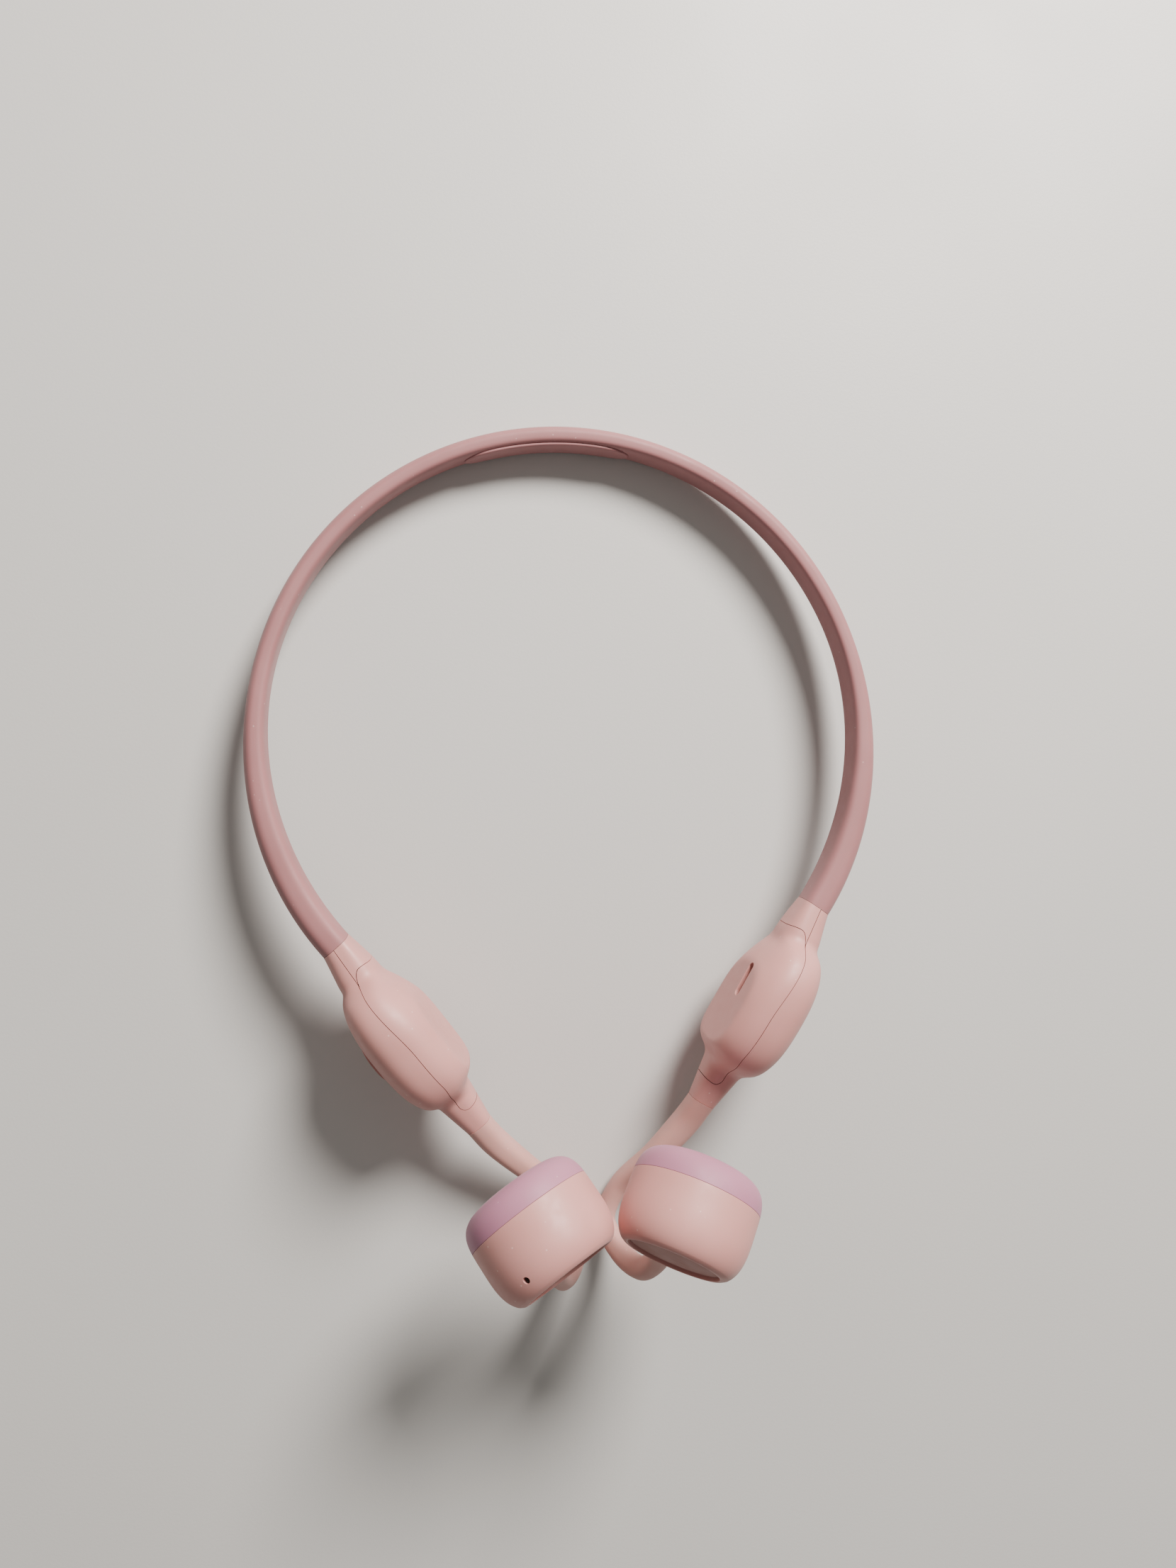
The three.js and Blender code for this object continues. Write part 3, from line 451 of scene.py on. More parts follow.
@dataclass(frozen=True)
class Finish:
    """A material with fine grain, soft colour drift and a worn sheen, sized in millimetres."""

    name: str
    colour: str
    drift_colour: str
    roughness: float
    roughness_spread: float = 0.06
    drift_mm: float = 14.0
    grain_mm: float = 0.35
    grain_height_mm: float = 0.008
    ripple_mm: float = 4.0
    ripple_height_mm: float = 0.0
    lint_colour: str = ""
    lint_mm: float = 2.6
    lint_edge: tuple[float, float] = (0.03, 0.07)
    lint_strength: float = 0.55
    metallic: float = 0.0
    ior: float | None = None
    sheen: float = 0.0
    sheen_roughness: float = 0.4
    coat: float = 0.0
    coat_roughness: float = 0.25
    subsurface: float = 0.0
    subsurface_mm: float = 0.8
    transmission: float = 0.0

    def noise(self, tree: bpy.types.NodeTree, place: bpy.types.NodeSocket, size_mm: float,
              detail: float = 2.0) -> bpy.types.NodeSocket:
        """Adds a noise whose features are about a real size.

        Args:
            tree: The material's node tree.
            place: The coordinates it reads, in metres.
            size_mm: The size of its features.
            detail: How many finer layers it has.

        Returns:
            The noise value.
        """
        node = add_node(tree, "ShaderNodeTexNoise",
                        {"Scale": 1 / (size_mm * MM), "Detail": detail, "Roughness": 0.55},
                        {"Vector": place})
        return node.outputs["Fac"]

    def material(self) -> bpy.types.Material:
        """Builds the material, or returns it if it is there already."""
        made = bpy.data.materials.get(self.name)
        if made:
            return made
        made = bpy.data.materials.new(self.name)
        made.use_nodes = True
        tree = made.node_tree
        shader = tree.nodes["Principled BSDF"]
        place = add_node(tree, "ShaderNodeTexCoord").outputs["Object"]
        drift = add_node(tree, "ShaderNodeMapRange", NOISE_RANGE,
                         {"Value": self.noise(tree, place, self.drift_mm)})
        colour = add_node(tree, "ShaderNodeMix",
                          {"data_type": "RGBA", "blend_type": "MIX"},
                          {"Factor": drift.outputs["Result"]})
        colour.inputs[MIX_A].default_value = linear(self.colour)
        colour.inputs[MIX_B].default_value = linear(self.drift_colour)
        result = colour.outputs[MIX_RESULT]
        if self.lint_colour:
            result = self.with_lint(tree, place, result)
        tree.links.new(result, shader.inputs["Base Color"])
        gloss = add_node(tree, "ShaderNodeMapRange",
                         {**NOISE_RANGE, "To Min": self.roughness - self.roughness_spread,
                          "To Max": self.roughness + self.roughness_spread},
                         {"Value": self.noise(tree, place, self.ripple_mm)})
        tree.links.new(gloss.outputs["Result"], shader.inputs["Roughness"])
        grain = add_node(tree, "ShaderNodeBump",
                         {"Strength": 1.0, "Distance": self.grain_height_mm * MM},
                         {"Height": self.noise(tree, place, self.grain_mm, 1.0)})
        normal = grain.outputs["Normal"]
        if self.ripple_height_mm:
            ripple = add_node(tree, "ShaderNodeBump",
                              {"Strength": 1.0, "Distance": self.ripple_height_mm * MM},
                              {"Height": self.noise(tree, place, self.ripple_mm),
                               "Normal": normal})
            normal = ripple.outputs["Normal"]
        tree.links.new(normal, shader.inputs["Normal"])
        for socket, value in (("Metallic", self.metallic), ("IOR", self.ior),
                              ("Coat Weight", self.coat),
                              ("Coat Roughness", self.coat_roughness),
                              ("Sheen Weight", self.sheen),
                              ("Sheen Roughness", self.sheen_roughness),
                              ("Subsurface Weight", self.subsurface),
                              ("Transmission Weight", self.transmission)):
            if value is not None:
                shader.inputs[socket].default_value = value
        shader.inputs["Subsurface Scale"].default_value = self.subsurface_mm * MM
        made.diffuse_color = linear(self.colour)
        return made

    def with_lint(self, tree: bpy.types.NodeTree, place: bpy.types.NodeSocket,
                  base: bpy.types.NodeSocket) -> bpy.types.NodeSocket:
        """Adds sparse pale specks, as the dust that soft silicone gathers.

        Args:
            tree: The material's node tree.
            place: The coordinates that the specks read.
            base: The colour under them.

        Returns:
            The colour with the specks.
        """
        cells = add_node(tree, "ShaderNodeTexVoronoi",
                         {"feature": "F1", "Scale": 1 / (self.lint_mm * MM)}, {"Vector": place})
        whole, gone = self.lint_edge
        speck = add_node(tree, "ShaderNodeMapRange",
                         {"From Min": whole, "From Max": gone, "To Min": self.lint_strength,
                          "To Max": 0.0},
                         {"Value": cells.outputs["Distance"]})
        mixed = add_node(tree, "ShaderNodeMix", {"data_type": "RGBA"},
                         {"Factor": speck.outputs["Result"]})
        tree.links.new(base, mixed.inputs[MIX_A])
        mixed.inputs[MIX_B].default_value = linear(self.lint_colour)
        return mixed.outputs[MIX_RESULT]


# Liquid silicone moulded over the spring wire: a soft, dusty skin with no hard highlight.
BAND_SILICONE = Finish("Silicone rubber, overmoulded, dusty rose", "#9e6d6f", "#966668", 0.6,
                       lint_colour="#cdb3b1", sheen=0.08, subsurface=0.04, ripple_height_mm=0.004)
# Polycarbonate with a sprayed soft-touch coat: satin, with a faint orange peel.
POD_PLASTIC = Finish("Polycarbonate, moulded, soft-touch coat, pale pink", "#c6908b", "#c08984",
                     0.5, grain_mm=0.3, grain_height_mm=0.005, ripple_mm=2.2,
                     ripple_height_mm=0.003, lint_colour="#e8cfca", sheen=0.04, subsurface=0.05)
# Thinner silicone over the hook's wire: a little warmer, and light passes into its edges.
ARM_SILICONE = Finish("Silicone rubber, overmoulded, peach", "#c99b94", "#c2928a", 0.56,
                      grain_height_mm=0.006, lint_colour="#e4c8be", sheen=0.06, subsurface=0.12)
# A separate silicone cap: matt, cooler and greyer than the housing.
CAP_SILICONE = Finish("Silicone rubber, moulded, mauve", "#ac768e", "#a46e86", 0.6,
                      grain_height_mm=0.006, lint_colour="#d0b8c1", sheen=0.08, subsurface=0.05)
# ABS from a finely spark-eroded tool: a dry, even surface.
PLATE_PLASTIC = Finish("ABS, moulded, spark-eroded, brown rose", "#a26a63", "#99625b", 0.6,
                       grain_mm=0.3, grain_height_mm=0.014)
# Silicone key tops, a shade darker than the coat round them where fingers press.
KEY_SILICONE = Finish("Silicone rubber, moulded key top, pale pink", "#bf8883", "#b8817b", 0.52,
                      drift_mm=3.0, grain_height_mm=0.006, sheen=0.08, subsurface=0.05)
# Open-cell foam behind the microphone hole: it takes in the light and leaves a dark dot.
MIC_FOAM = Finish("Acoustic foam, cut, dark brown", "#35241f", "#2c1e1b", 0.95, grain_mm=0.2,
                  grain_height_mm=0.06)
# Titanium wire, drawn and left bare: warm grey, with soft highlights along it.
TITANIUM = Finish("Titanium, drawn wire", "#a39c94", "#989189", 0.34, metallic=1.0,
                  grain_mm=0.12, grain_height_mm=0.004)
# Spring steel, stamped and degreased: a neutral, even shine.
STEEL = Finish("Spring steel, stamped", "#b4b3b1", "#a8a7a5", 0.3, metallic=1.0, grain_mm=0.2,
               grain_height_mm=0.003)
# Sintered magnets under bright nickel plate: the sharpest shine of the metals.
NICKEL = Finish("Nickel, electroplated on a magnet", "#c9c5bf", "#bdb9b2", 0.18, metallic=1.0,
                grain_mm=0.4, grain_height_mm=0.002)
# Enamelled copper wire, wound and bonded: a tight grain under a clear coat.
COPPER = Finish("Copper, enamelled winding", "#b87048", "#a35c37", 0.36, metallic=1.0, coat=0.4,
                grain_mm=0.14, grain_height_mm=0.03)
# Hard gold flash on the charging contacts: a satin yellow.
GOLD = Finish("Gold, electroplated contact", "#c29a50", "#b38a43", 0.32, metallic=1.0,
              grain_mm=0.1, grain_height_mm=0.002)
# Glass-epoxy board under green solder mask: glossy, with a fine mottle.
BOARD = Finish("Glass epoxy board, solder mask, green", "#1f5a36", "#256b41", 0.42, drift_mm=1.2,
               grain_mm=0.4, grain_height_mm=0.02, coat=0.3)
# Aluminium-laminate pouch of the lithium cell: silver, with shallow dents.
FOIL = Finish("Aluminium laminate, pressed pouch", "#c2c4c6", "#b3b6b9", 0.32, metallic=0.9,
              ripple_mm=3.0, ripple_height_mm=0.05)
# Extruded PVC jacket of the signal leads: a dull charcoal with a fine grain.
JACKET = Finish("PVC, extruded lead jacket, charcoal", "#37363a", "#2f2e32", 0.5, grain_mm=0.3,
                grain_height_mm=0.01)
# Polycarbonate light pipe, left clear: a small dot, brighter than the shell.
LENS = Finish("Polycarbonate, moulded light pipe", "#f3efec", "#ece7e3", 0.16, transmission=0.5,
              ior=1.58, grain_height_mm=0.001)
# Matt laminate of the table: a dry, even grey with a wide, faint sheen.
TABLE = Finish("Melamine laminate, pressed, pale grey", "#c9cac9", "#c4c5c4", 0.5,
               drift_mm=180.0, grain_mm=0.6, grain_height_mm=0.012, ripple_mm=60.0)


class Slot(Enum):
    """The record's material slots, with the finish of each."""

    band_silicone = BAND_SILICONE
    pod_plastic = POD_PLASTIC
    arm_silicone = ARM_SILICONE
    cap_silicone = CAP_SILICONE
    plate_plastic = PLATE_PLASTIC
    button_silicone = KEY_SILICONE
    spring_titanium = TITANIUM
    lead_jacket = JACKET
    steel = STEEL
    magnet_nickel = NICKEL
    copper = COPPER
    gold = GOLD
    board_green = BOARD
    cell_foil = FOIL
    lens = LENS


class Side(Enum):
    """The two sides of the headphones, right at +X."""

    RIGHT = "right"
    LEFT = "left"

    def named(self, piece: str) -> str:
        """Returns the name of a piece on this side."""
        return f"{self.value}_{piece}"

    def point(self, point: Vector) -> Vector:
        """Returns a point given for the right side, in metres and on this side."""
        return Vector((point.x if self is Side.RIGHT else -point.x, point.y, point.z)) * MM


def make_piece(name: str, mesh: bmesh.types.BMesh, slot: Slot, stands_for: Sequence[str] = (),
               body: str = "", side: Side = Side.RIGHT, sharp: float = CRISP
               ) -> bpy.types.Object:
    """Finishes a piece: metres, smooth shading and the material of its slot; hides the CAD nodes it
    stands for, and puts it on its body.

    Args:
        name: The piece's name.
        mesh: Its mesh in millimetres, as it is on the right side. It is freed.
        slot: The record's slot whose finish it takes.
        stands_for: The CAD nodes it replaces.
        body: The CAD body it rides on, if it is rigid.
        side: The side that it belongs on.
        sharp: Edges that turn by more degrees than this stay crisp.

    Returns:
        The piece's object.
    """
    if side is Side.LEFT:
        mirror(mesh)
    bmesh.ops.scale(mesh, vec=(MM, MM, MM), verts=mesh.verts)
    for face in mesh.faces:
        face.smooth = True
    for edge in mesh.edges:
        if len(edge.link_faces) == 2 and edge.calc_face_angle(0.0) > math.radians(sharp):
            edge.smooth = False
    obj = plain_object(name, mesh)
    obj.data.materials.append(slot.value.material())
    if stands_for:
        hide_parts(*stands_for)
    if body:
        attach(obj, body)
    LOG.info("%s: %d faces", name, len(obj.data.polygons))
    return obj


def soften(piece: bpy.types.Object, width_mm: float, angle: float = CRISP) -> None:
    """Rounds a piece's sharp edges with a live bevel.

    Args:
        piece: The piece.
        width_mm: How far the rounding starts from an edge.
        angle: Edges that turn by more degrees than this are rounded.
    """
    bevel = piece.modifiers.new("edges", "BEVEL")
    bevel.width = width_mm * MM
    bevel.segments = 3
    bevel.limit_method = "ANGLE"
    bevel.angle_limit = math.radians(angle)
    bevel.use_clamp_overlap = True


# ---- Paths that the pieces follow ----


def frame_shift() -> Vector:
    """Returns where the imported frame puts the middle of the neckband's circle, in millimetres."""
    low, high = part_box("neckband_middle")
    return Vector((0.0, high.y / MM - BAND_OUTER_RADIUS, low.z / MM))


SHIFT = frame_shift()


@dataclass(frozen=True)
class BandPath:
    """The neckband's centre line: an arc that climbs from the back of the neck to the pods."""

    thickness: float = 3.8
    end_thickness: float = 6.0
    height: float = 8.0
    half_arc: float = math.radians(128)
    rise: float = 11.0
    slender_share: float = 0.55
    outer_power: float = 2.2
    inner_power: float = 4.0

    @property
    def radius(self) -> float:
        """Radius of the centre line."""
        return BAND_OUTER_RADIUS - self.thickness / 2

    def station(self, arc: float) -> Station:
        """Returns the station at an arc from the back of the neck, positive towards +X."""
        y = self.radius * math.cos(arc)
        slope = self.rise / (self.radius * (1 - math.cos(self.half_arc)))
        origin = Vector((self.radius * math.sin(arc), y,
                         self.height / 2 + (self.radius - y) * slope))
        return Station(origin + SHIFT, Vector((math.sin(arc), math.cos(arc), 0)), Z)

    def reach(self, arc: float) -> Reach:
        """Returns the section at an arc: rounded outside, flatter inside, thicker at the pods."""
        share = smooth(abs(arc), self.half_arc * self.slender_share, self.half_arc)
        return Reach.even(mix(self.thickness, self.end_thickness, share), self.height,
                          self.outer_power, self.inner_power)

    def point_on(self, arc: float, side: Side) -> Vector:
        """Returns a point of the centre line in metres, on one side."""
        return side.point(self.station(arc).origin)


@dataclass(frozen=True)
class PodPath:
    """The pod's axis and outline, from the band's end to the arm."""

    band: BandPath = BandPath()
    heading: float = math.radians(33)
    length: float = 45.5
    drop: float = 2.6
    disc_start: float = 9.5
    disc_end: float = 35.5
    disc_reach: tuple[float, float, float, float] = (7.4, 8.1, 13.6, 9.0)
    facet: float = 6.9
    facet_lean: float = 0.05
    neck_flare: float = 7.0
    tongue_flare: float = 8.5
    flare_width: float = 1.2
    flare_height: float = 1.8
    arm_width: float = 5.4
    arm_height: float = 6.2
    taper: tuple[float, float] = (0.1, 0.9)
    disc_spare: float = 1.2
    disc_power: float = 2.6
    disc_outer_power: float = 1.25
    face_ramp: float = 0.5
    face_ramp_power: float = 1.9
    face_step: float = 0.7
    face_step_powers: tuple[float, float] = (3.0, 0.6)
    easing: tuple[float, float, float, float] = (0.9, 1.6, 1.6, 1.6)
    easing_steps: int = 6
    neck_turn: float = 7.0
    neck_blend: float = 9.0
    face_starts: tuple[float, float] = (4.0, 14.0)
    face_ends: tuple[float, float] = (30.0, 42.0)
    power: float = 2.7
    face_power: float = 2.5

    @property
    def forward(self) -> Vector:
        """Direction from the band to the arm."""
        return Vector((-math.sin(self.heading), -math.cos(self.heading), 0))

    @property
    def outward(self) -> Vector:
        """Direction away from the head."""
        return Vector((math.cos(self.heading), -math.sin(self.heading), 0))

    @property
    def middle(self) -> float:
        """Distance along the pod of the disc's middle."""
        return (self.disc_start + self.disc_end) / 2

    def point(self, along: float, across: float = 0.0, above: float = 0.0) -> Vector:
        """Finds a point of the pod.

        Args:
            along: Distance from the band's end.
            across: Distance from the parting plane, away from the head.
            above: Height over the pod's axis.

        Returns:
            The point in millimetres.
        """
        share = along / self.length
        return (self.band.station(self.band.half_arc).origin + self.forward * along
                + self.outward * across + Z * (above - self.drop * share * share))

    def place(self, along: float, across: float = 0.0, above: float = 0.0) -> Matrix:
        """Returns a matrix at a point, with X forward, Y away from the head and Z up."""
        basis = Matrix((self.forward, self.outward, Z)).transposed().to_4x4()
        return Matrix.Translation(self.point(along, across, above)) @ basis

    def station(self, along: float) -> Station:
        """Returns a station whose section turns from the band's end to the pod's heading."""
        turned_share = 1 - smooth(along, 0.0, self.neck_turn)
        side = self.outward.lerp(self.band.station(self.band.half_arc).side, turned_share)
        return Station(self.point(along), side.normalized(), Z)

    def raw_reach(self, along: float) -> tuple[float, float, float, float]:
        """Returns how far the outline reaches out, in, up and down, before it is eased."""
        share = smooth(along / self.length, *self.taper)
        flare = (min(1.0, max(0.0, along / self.neck_flare))
                 * min(1.0, max(0.0, (self.length - along) / self.tongue_flare)))
        half_width = mix(self.band.end_thickness, self.arm_width, share) / 2
        half_width += self.flare_width * flare
        half_height = mix(self.band.height, self.arm_height, share) / 2
        half_height += self.flare_height * flare
        half = (self.disc_end - self.disc_start) / 2
        offset = min(1.0, abs(along - self.middle) / (half + self.disc_spare))
        disc = math.sqrt(max(0.0, 1 - offset ** self.disc_power))
        place = min(1.0, max(0.0, (along - self.disc_start) / (2 * half)))
        ramp = 1 - (1 - min(1.0, place / self.face_ramp)) ** self.face_ramp_power
        past = max(0.0, (place - self.face_step) / (1 - self.face_step))
        step = (1 - past ** self.face_step_powers[0]) ** self.face_step_powers[1]
        outer, inner, above, below = self.disc_reach
        return (mix(half_width, outer, disc ** self.disc_outer_power),
                mix(half_width, inner, min(ramp, step)),
                mix(half_height, above, disc), mix(half_height, below, disc))

    def reach(self, along: float, extra: float = 0.0) -> Reach:
        """Returns the eased section.

        Args:
            along: Distance from the band's end.
            extra: Margin all round, negative for an inner wall.

        Returns:
            The section, flatter on the head's side of the disc.
        """
        room = min(max(0.0, along), max(0.0, self.length - along))
        steps = self.easing_steps
        weights = [(k / steps, 1 - abs(k) / (steps + 1)) for k in range(-steps, steps + 1)]
        total = sum(weight for _, weight in weights)
        sums = [sum(self.raw_reach(along + offset * min(easing, room))[i] * weight / total
                    for offset, weight in weights) for i, easing in enumerate(self.easing)]
        disc = smooth(along, *self.face_starts) * (1 - smooth(along, *self.face_ends))
        from_band = smooth(along, 0, self.neck_blend)
        outer = mix(self.band.outer_power, self.power, from_band)
        inner = mix(self.band.inner_power, self.power, from_band)
        section = Reach(*sums, outer, mix(inner, self.face_power, disc), self.facet,
                        self.facet_lean)
        return section.grown(extra)


@dataclass(frozen=True)
class BarrelPath:
    """The transducer's axis and outline."""

    pod: PodPath = PodPath()
    radius: float = 12.0
    length: float = 17.5
    spare: float = 1.4
    height: float = 40.0
    setback: float = 10.2
    elevation: float = math.radians(27)
    heading: float = math.radians(33)
    cap_flat: float = 7.0
    face_flat: float = 9.1
    cap_powers: tuple[float, float] = (4.4, 0.5)
    face_powers: tuple[float, float] = (3.2, 0.7)
    outline_steps: int = 28

    @property
    def half(self) -> float:
        """Half of the length."""
        return self.length / 2

    @property
    def axis(self) -> Vector:
        """Direction from the cap to the contact face."""
        return Vector((-math.sin(self.heading) * math.cos(self.elevation),
                       -math.cos(self.heading) * math.cos(self.elevation),
                       math.sin(self.elevation)))

    @property
    def down(self) -> Vector:
        """Direction square to the axis that points most steeply down."""
        return (self.axis * self.axis.z - Z).normalized()

    @property
    def centre(self) -> Vector:
        """Middle of the barrel."""
        arm = self.pod.point(self.pod.length)
        return Vector((self.radius + self.spare, arm.y - self.setback, self.height + SHIFT.z))

    def place(self, along: float = 0.0) -> Matrix:
        """Returns a matrix with local Z on the axis and local Y down, at a distance along it."""
        basis = Matrix((self.down.cross(self.axis), self.down, self.axis)).transposed().to_4x4()
        return Matrix.Translation(self.centre + self.axis * along) @ basis

    def reach(self, along: float) -> float:
        """Returns the outer radius at a distance along the axis from the middle."""
        share = min(1.0, abs(along) / self.half)
        flat, powers = ((self.face_flat, self.face_powers) if along > 0
                        else (self.cap_flat, self.cap_powers))
        return mix(flat, self.radius, (1 - share ** powers[0]) ** powers[1])

    def outline(self, start: float, end: float, grow: float = 0.0) -> list[tuple[float, float]]:
        """Returns profile points between two distances along the axis, closer at the ends."""
        steps = self.outline_steps
        shares = [0.5 - 0.5 * math.cos(math.pi * i / steps) for i in range(steps + 1)]
        places = [mix(start, end, share) for share in shares]
        return [(self.reach(along) + grow, along) for along in places]


# Points that the ear hook is led through between the pod and the barrel: the share of its
# reach to the front, the distance out from its inmost place, and the height over its lowest.
HOOK_SPOTS = ((0.37, 10.4, 5.6), (0.62, 3.0, 0.8), (0.84, 0.0, 0.42), (0.98, 2.0, 5.4),
              (0.99, 5.0, 13.2), (0.8, 7.6, 21.4))


@dataclass
class HookPath:
    """The ear hook's centre line: a smooth curve from the pod round to the barrel."""

    pod: PodPath
    barrel: BarrelPath
    reach_front: float = 32.0
    inside: float = 2.7
    half_width: float = 1.9
    half_height: float = 2.3
    bend: float = 5.0
    bend_drop: float = 1.2
    sunk: float = 1.3
    meets_share: float = 0.16
    slims: tuple[float, float] = (0.05, 0.4)
    swells: tuple[float, float] = (0.75, 1.0)
    swell: float = 1.2
    steps: int = 1600
    tangent_steps: int = 4

    def __post_init__(self) -> None:
        """Lays the curve out and measures it."""
        pod, barrel = self.pod, self.barrel
        end = (barrel.centre + barrel.down * (barrel.radius - self.sunk)
               + barrel.axis * barrel.length * self.meets_share)
        arm = pod.point(pod.length)
        self.points = [
            arm, pod.point(pod.length + self.bend, 0, -self.bend_drop),
            *(Vector((self.inside + inside, arm.y - self.reach_front * front,
                      self.half_height + height + SHIFT.z))
              for front, inside, height in HOOK_SPOTS),
            end,
        ]
        self.samples = [self.curve(i / self.steps) for i in range(self.steps + 1)]
        self.lengths = [0.0]
        for before, after in zip(self.samples, self.samples[1:]):
            self.lengths.append(self.lengths[-1] + (after - before).length)

    @property
    def length(self) -> float:
        """Length of the centre line."""
        return self.lengths[-1]

    def curve(self, t: float) -> Vector:
        """Returns the point of the centripetal curve at a parameter from 0 to 1."""
        points = self.points
        place = (len(points) - 1) * t
        index = min(len(points) - 2, int(place))
        weight = place - index
        second, third = points[index], points[index + 1]
        first = points[index - 1] if index else second * 2 - third
        fourth = points[index + 2] if index + 2 < len(points) else third * 2 - second
        gaps = [math.sqrt((b - a).length) for a, b in ((first, second), (second, third),
                                                       (third, fourth))]
        leave = ((second - first) / gaps[0] - (third - first) / (gaps[0] + gaps[1])
                 + (third - second) / gaps[1]) * gaps[1]
        arrive = ((third - second) / gaps[1] - (fourth - second) / (gaps[1] + gaps[2])
                  + (fourth - third) / gaps[2]) * gaps[1]
        return (second + leave * weight
                + (third * 3 - second * 3 - leave * 2 - arrive) * weight ** 2
                + (second * 2 - third * 2 + leave + arrive) * weight ** 3)

    def point(self, along: float) -> Vector:
        """Returns the point at a distance along the curve, straight on past its ends."""
        held = min(max(along, 0.0), self.length - 1e-6)
        index = max(1, bisect_left(self.lengths, held))
        share = (held - self.lengths[index - 1]) / (self.lengths[index] - self.lengths[index - 1])
        here = self.samples[index - 1].lerp(self.samples[index], share)
        return here + self.tangent(held) * (along - held)

    def tangent(self, along: float) -> Vector:
        """Returns the curve's direction at a distance along it."""
        step = self.tangent_steps
        index = min(self.steps - step, max(step, bisect_left(self.lengths, along)))
        return (self.samples[index + step] - self.samples[index - step]).normalized()

    def station(self, along: float) -> Station:
        """Returns the station at a distance along the curve."""
        tangent = self.tangent(along)
        outward = self.pod.outward
        side = (outward - tangent * outward.dot(tangent)).normalized()
        return Station(self.point(along), side, side.cross(tangent))

    def section(self, along: float) -> Reach:
        """Returns the section, slim in the hook and swollen at the barrel."""
        share = along / self.length
        slim = smooth(share, *self.slims)
        swell = self.swell * smooth(share, *self.swells)
        return Reach.even(mix(self.pod.arm_width, 2 * self.half_width, slim) + swell,
                          mix(self.pod.arm_height, 2 * self.half_height, slim) + swell)


# ---- Sub-assemblies ----


@dataclass
class Neckband:
    """The silicone band round the back of the neck, in three lengths that meet without a gap."""

    path: BandPath = BandPath()
    still_arc: float = math.radians(25)
    bent_arc: float = math.radians(125)
    end_gap: float = 0.07
    core_arcs: tuple[float, float] = (math.radians(43.2), math.radians(126.6))
    core_pitch: float = 1.7
    wire_diameter: float = 1.0
    lead_diameter: float = 1.2
    pad_arc: float = math.radians(16.5)
    pad_height: float = 6.6
    pad_proud: float = 0.6
    pad_sunk: float = 0.6
    pad_thinnest: float = 0.02
    pad_end_power: float = 8.0
    pad_dome_power: float = 0.7
    pad_powers: tuple[float, float] = (2.4, 3.0)
    sharp: float = 60.0
    sides: int = 56
    middle_steps: int = 48
    side_steps: int = 104
    core_sides: int = 20
    core_steps: int = 72
    pad_sides: int = 40
    pad_steps: int = 40

    def build(self) -> None:
        """Builds the middle, the two springy sides and the pad."""
        middle = swept(self.path.station, self.path.reach,
                       spread(-self.still_arc, self.still_arc, self.middle_steps), self.sides)
        make_piece("neckband_centre_skin", middle, Slot.band_silicone, ["neckband_middle"],
                   "neckband", sharp=self.sharp)
        end = self.path.half_arc - self.end_gap / self.path.radius
        for side in Side:
            arm = swept(self.path.station, self.path.reach,
                        spread(self.still_arc, end, self.side_steps), self.sides)
            self.make_bending("neckband_skin", "neckband", side, arm, Slot.band_silicone)
            self.make_bending("spring_wire_core", "spring_wire", side,
                              self.core(self.wire_diameter, 1), Slot.spring_titanium)
            self.make_bending("lead_core", "lead", side, self.core(self.lead_diameter, -1),
                              Slot.lead_jacket)
        make_piece("neckband_inner_pad_skin", self.pad(), Slot.band_silicone,
                   ["neckband_inner_pad"], "neckband", sharp=self.sharp)

    def make_bending(self, name: str, node: str, side: Side, mesh: bmesh.types.BMesh,
                     slot: Slot) -> None:
        """Puts a length of the band on a side.

        Args:
            name: The piece's name, without its side.
            node: The CAD node that it stands for, without its side.
            side: Its side.
            mesh: Its mesh for the right side, which is freed.
            slot: The slot whose finish it takes.
        """
        piece = make_piece(side.named(name), mesh, slot, [side.named(node)], side=side,
                           sharp=self.sharp)
        self.path.point_on(self.still_arc, side)
        self.path.point_on(self.bent_arc, side)
        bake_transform(piece)

    def core(self, diameter: float, way: int) -> bmesh.types.BMesh:
        """Returns the wire or the lead in the band, above its centre line or below it."""
        def station(arc: float) -> Station:
            """Puts the section's centre above or below the band's."""
            here = self.path.station(arc)
            return Station(here.origin + Z * (way * self.core_pitch / 2), here.side, Z)

        return swept(station, lambda arc: Reach.even(diameter, diameter, 2, 2),
                     spread(*self.core_arcs, self.core_steps), self.core_sides)

    def pad(self) -> bmesh.types.BMesh:
        """Returns the moulded pad inside the middle, with a domed face and rounded ends."""
        def station(arc: float) -> Station:
            """Puts the section's centre on the band's inner wall."""
            here = self.path.station(arc)
            return Station(here.origin - here.side * (self.path.thickness / 2), here.side, Z)

        def section(arc: float) -> Reach:
            """Rounds the pad off towards its ends."""
            taper = (1 - min(1.0, abs(arc) / self.pad_arc) ** self.pad_end_power) ** 0.5
            half = max(self.pad_thinnest, self.pad_height / 2 * taper)
            proud = max(self.pad_thinnest, self.pad_proud * taper ** self.pad_dome_power)
            return Reach(self.pad_sunk, proud, half, half, *self.pad_powers)

        steps = self.pad_steps
        shares = [math.sin(math.pi / 2 * i / steps) for i in range(-steps, steps + 1)]
        return swept(station, section, [self.pad_arc * share for share in shares],
                     self.pad_sides)


@dataclass(frozen=True)
class KeyPlace:
    """Where a round key or light comes through a pod: its underside, or its outer side."""

    radius: float
    along: float
    across: float = 0.0
    sideways: bool = False


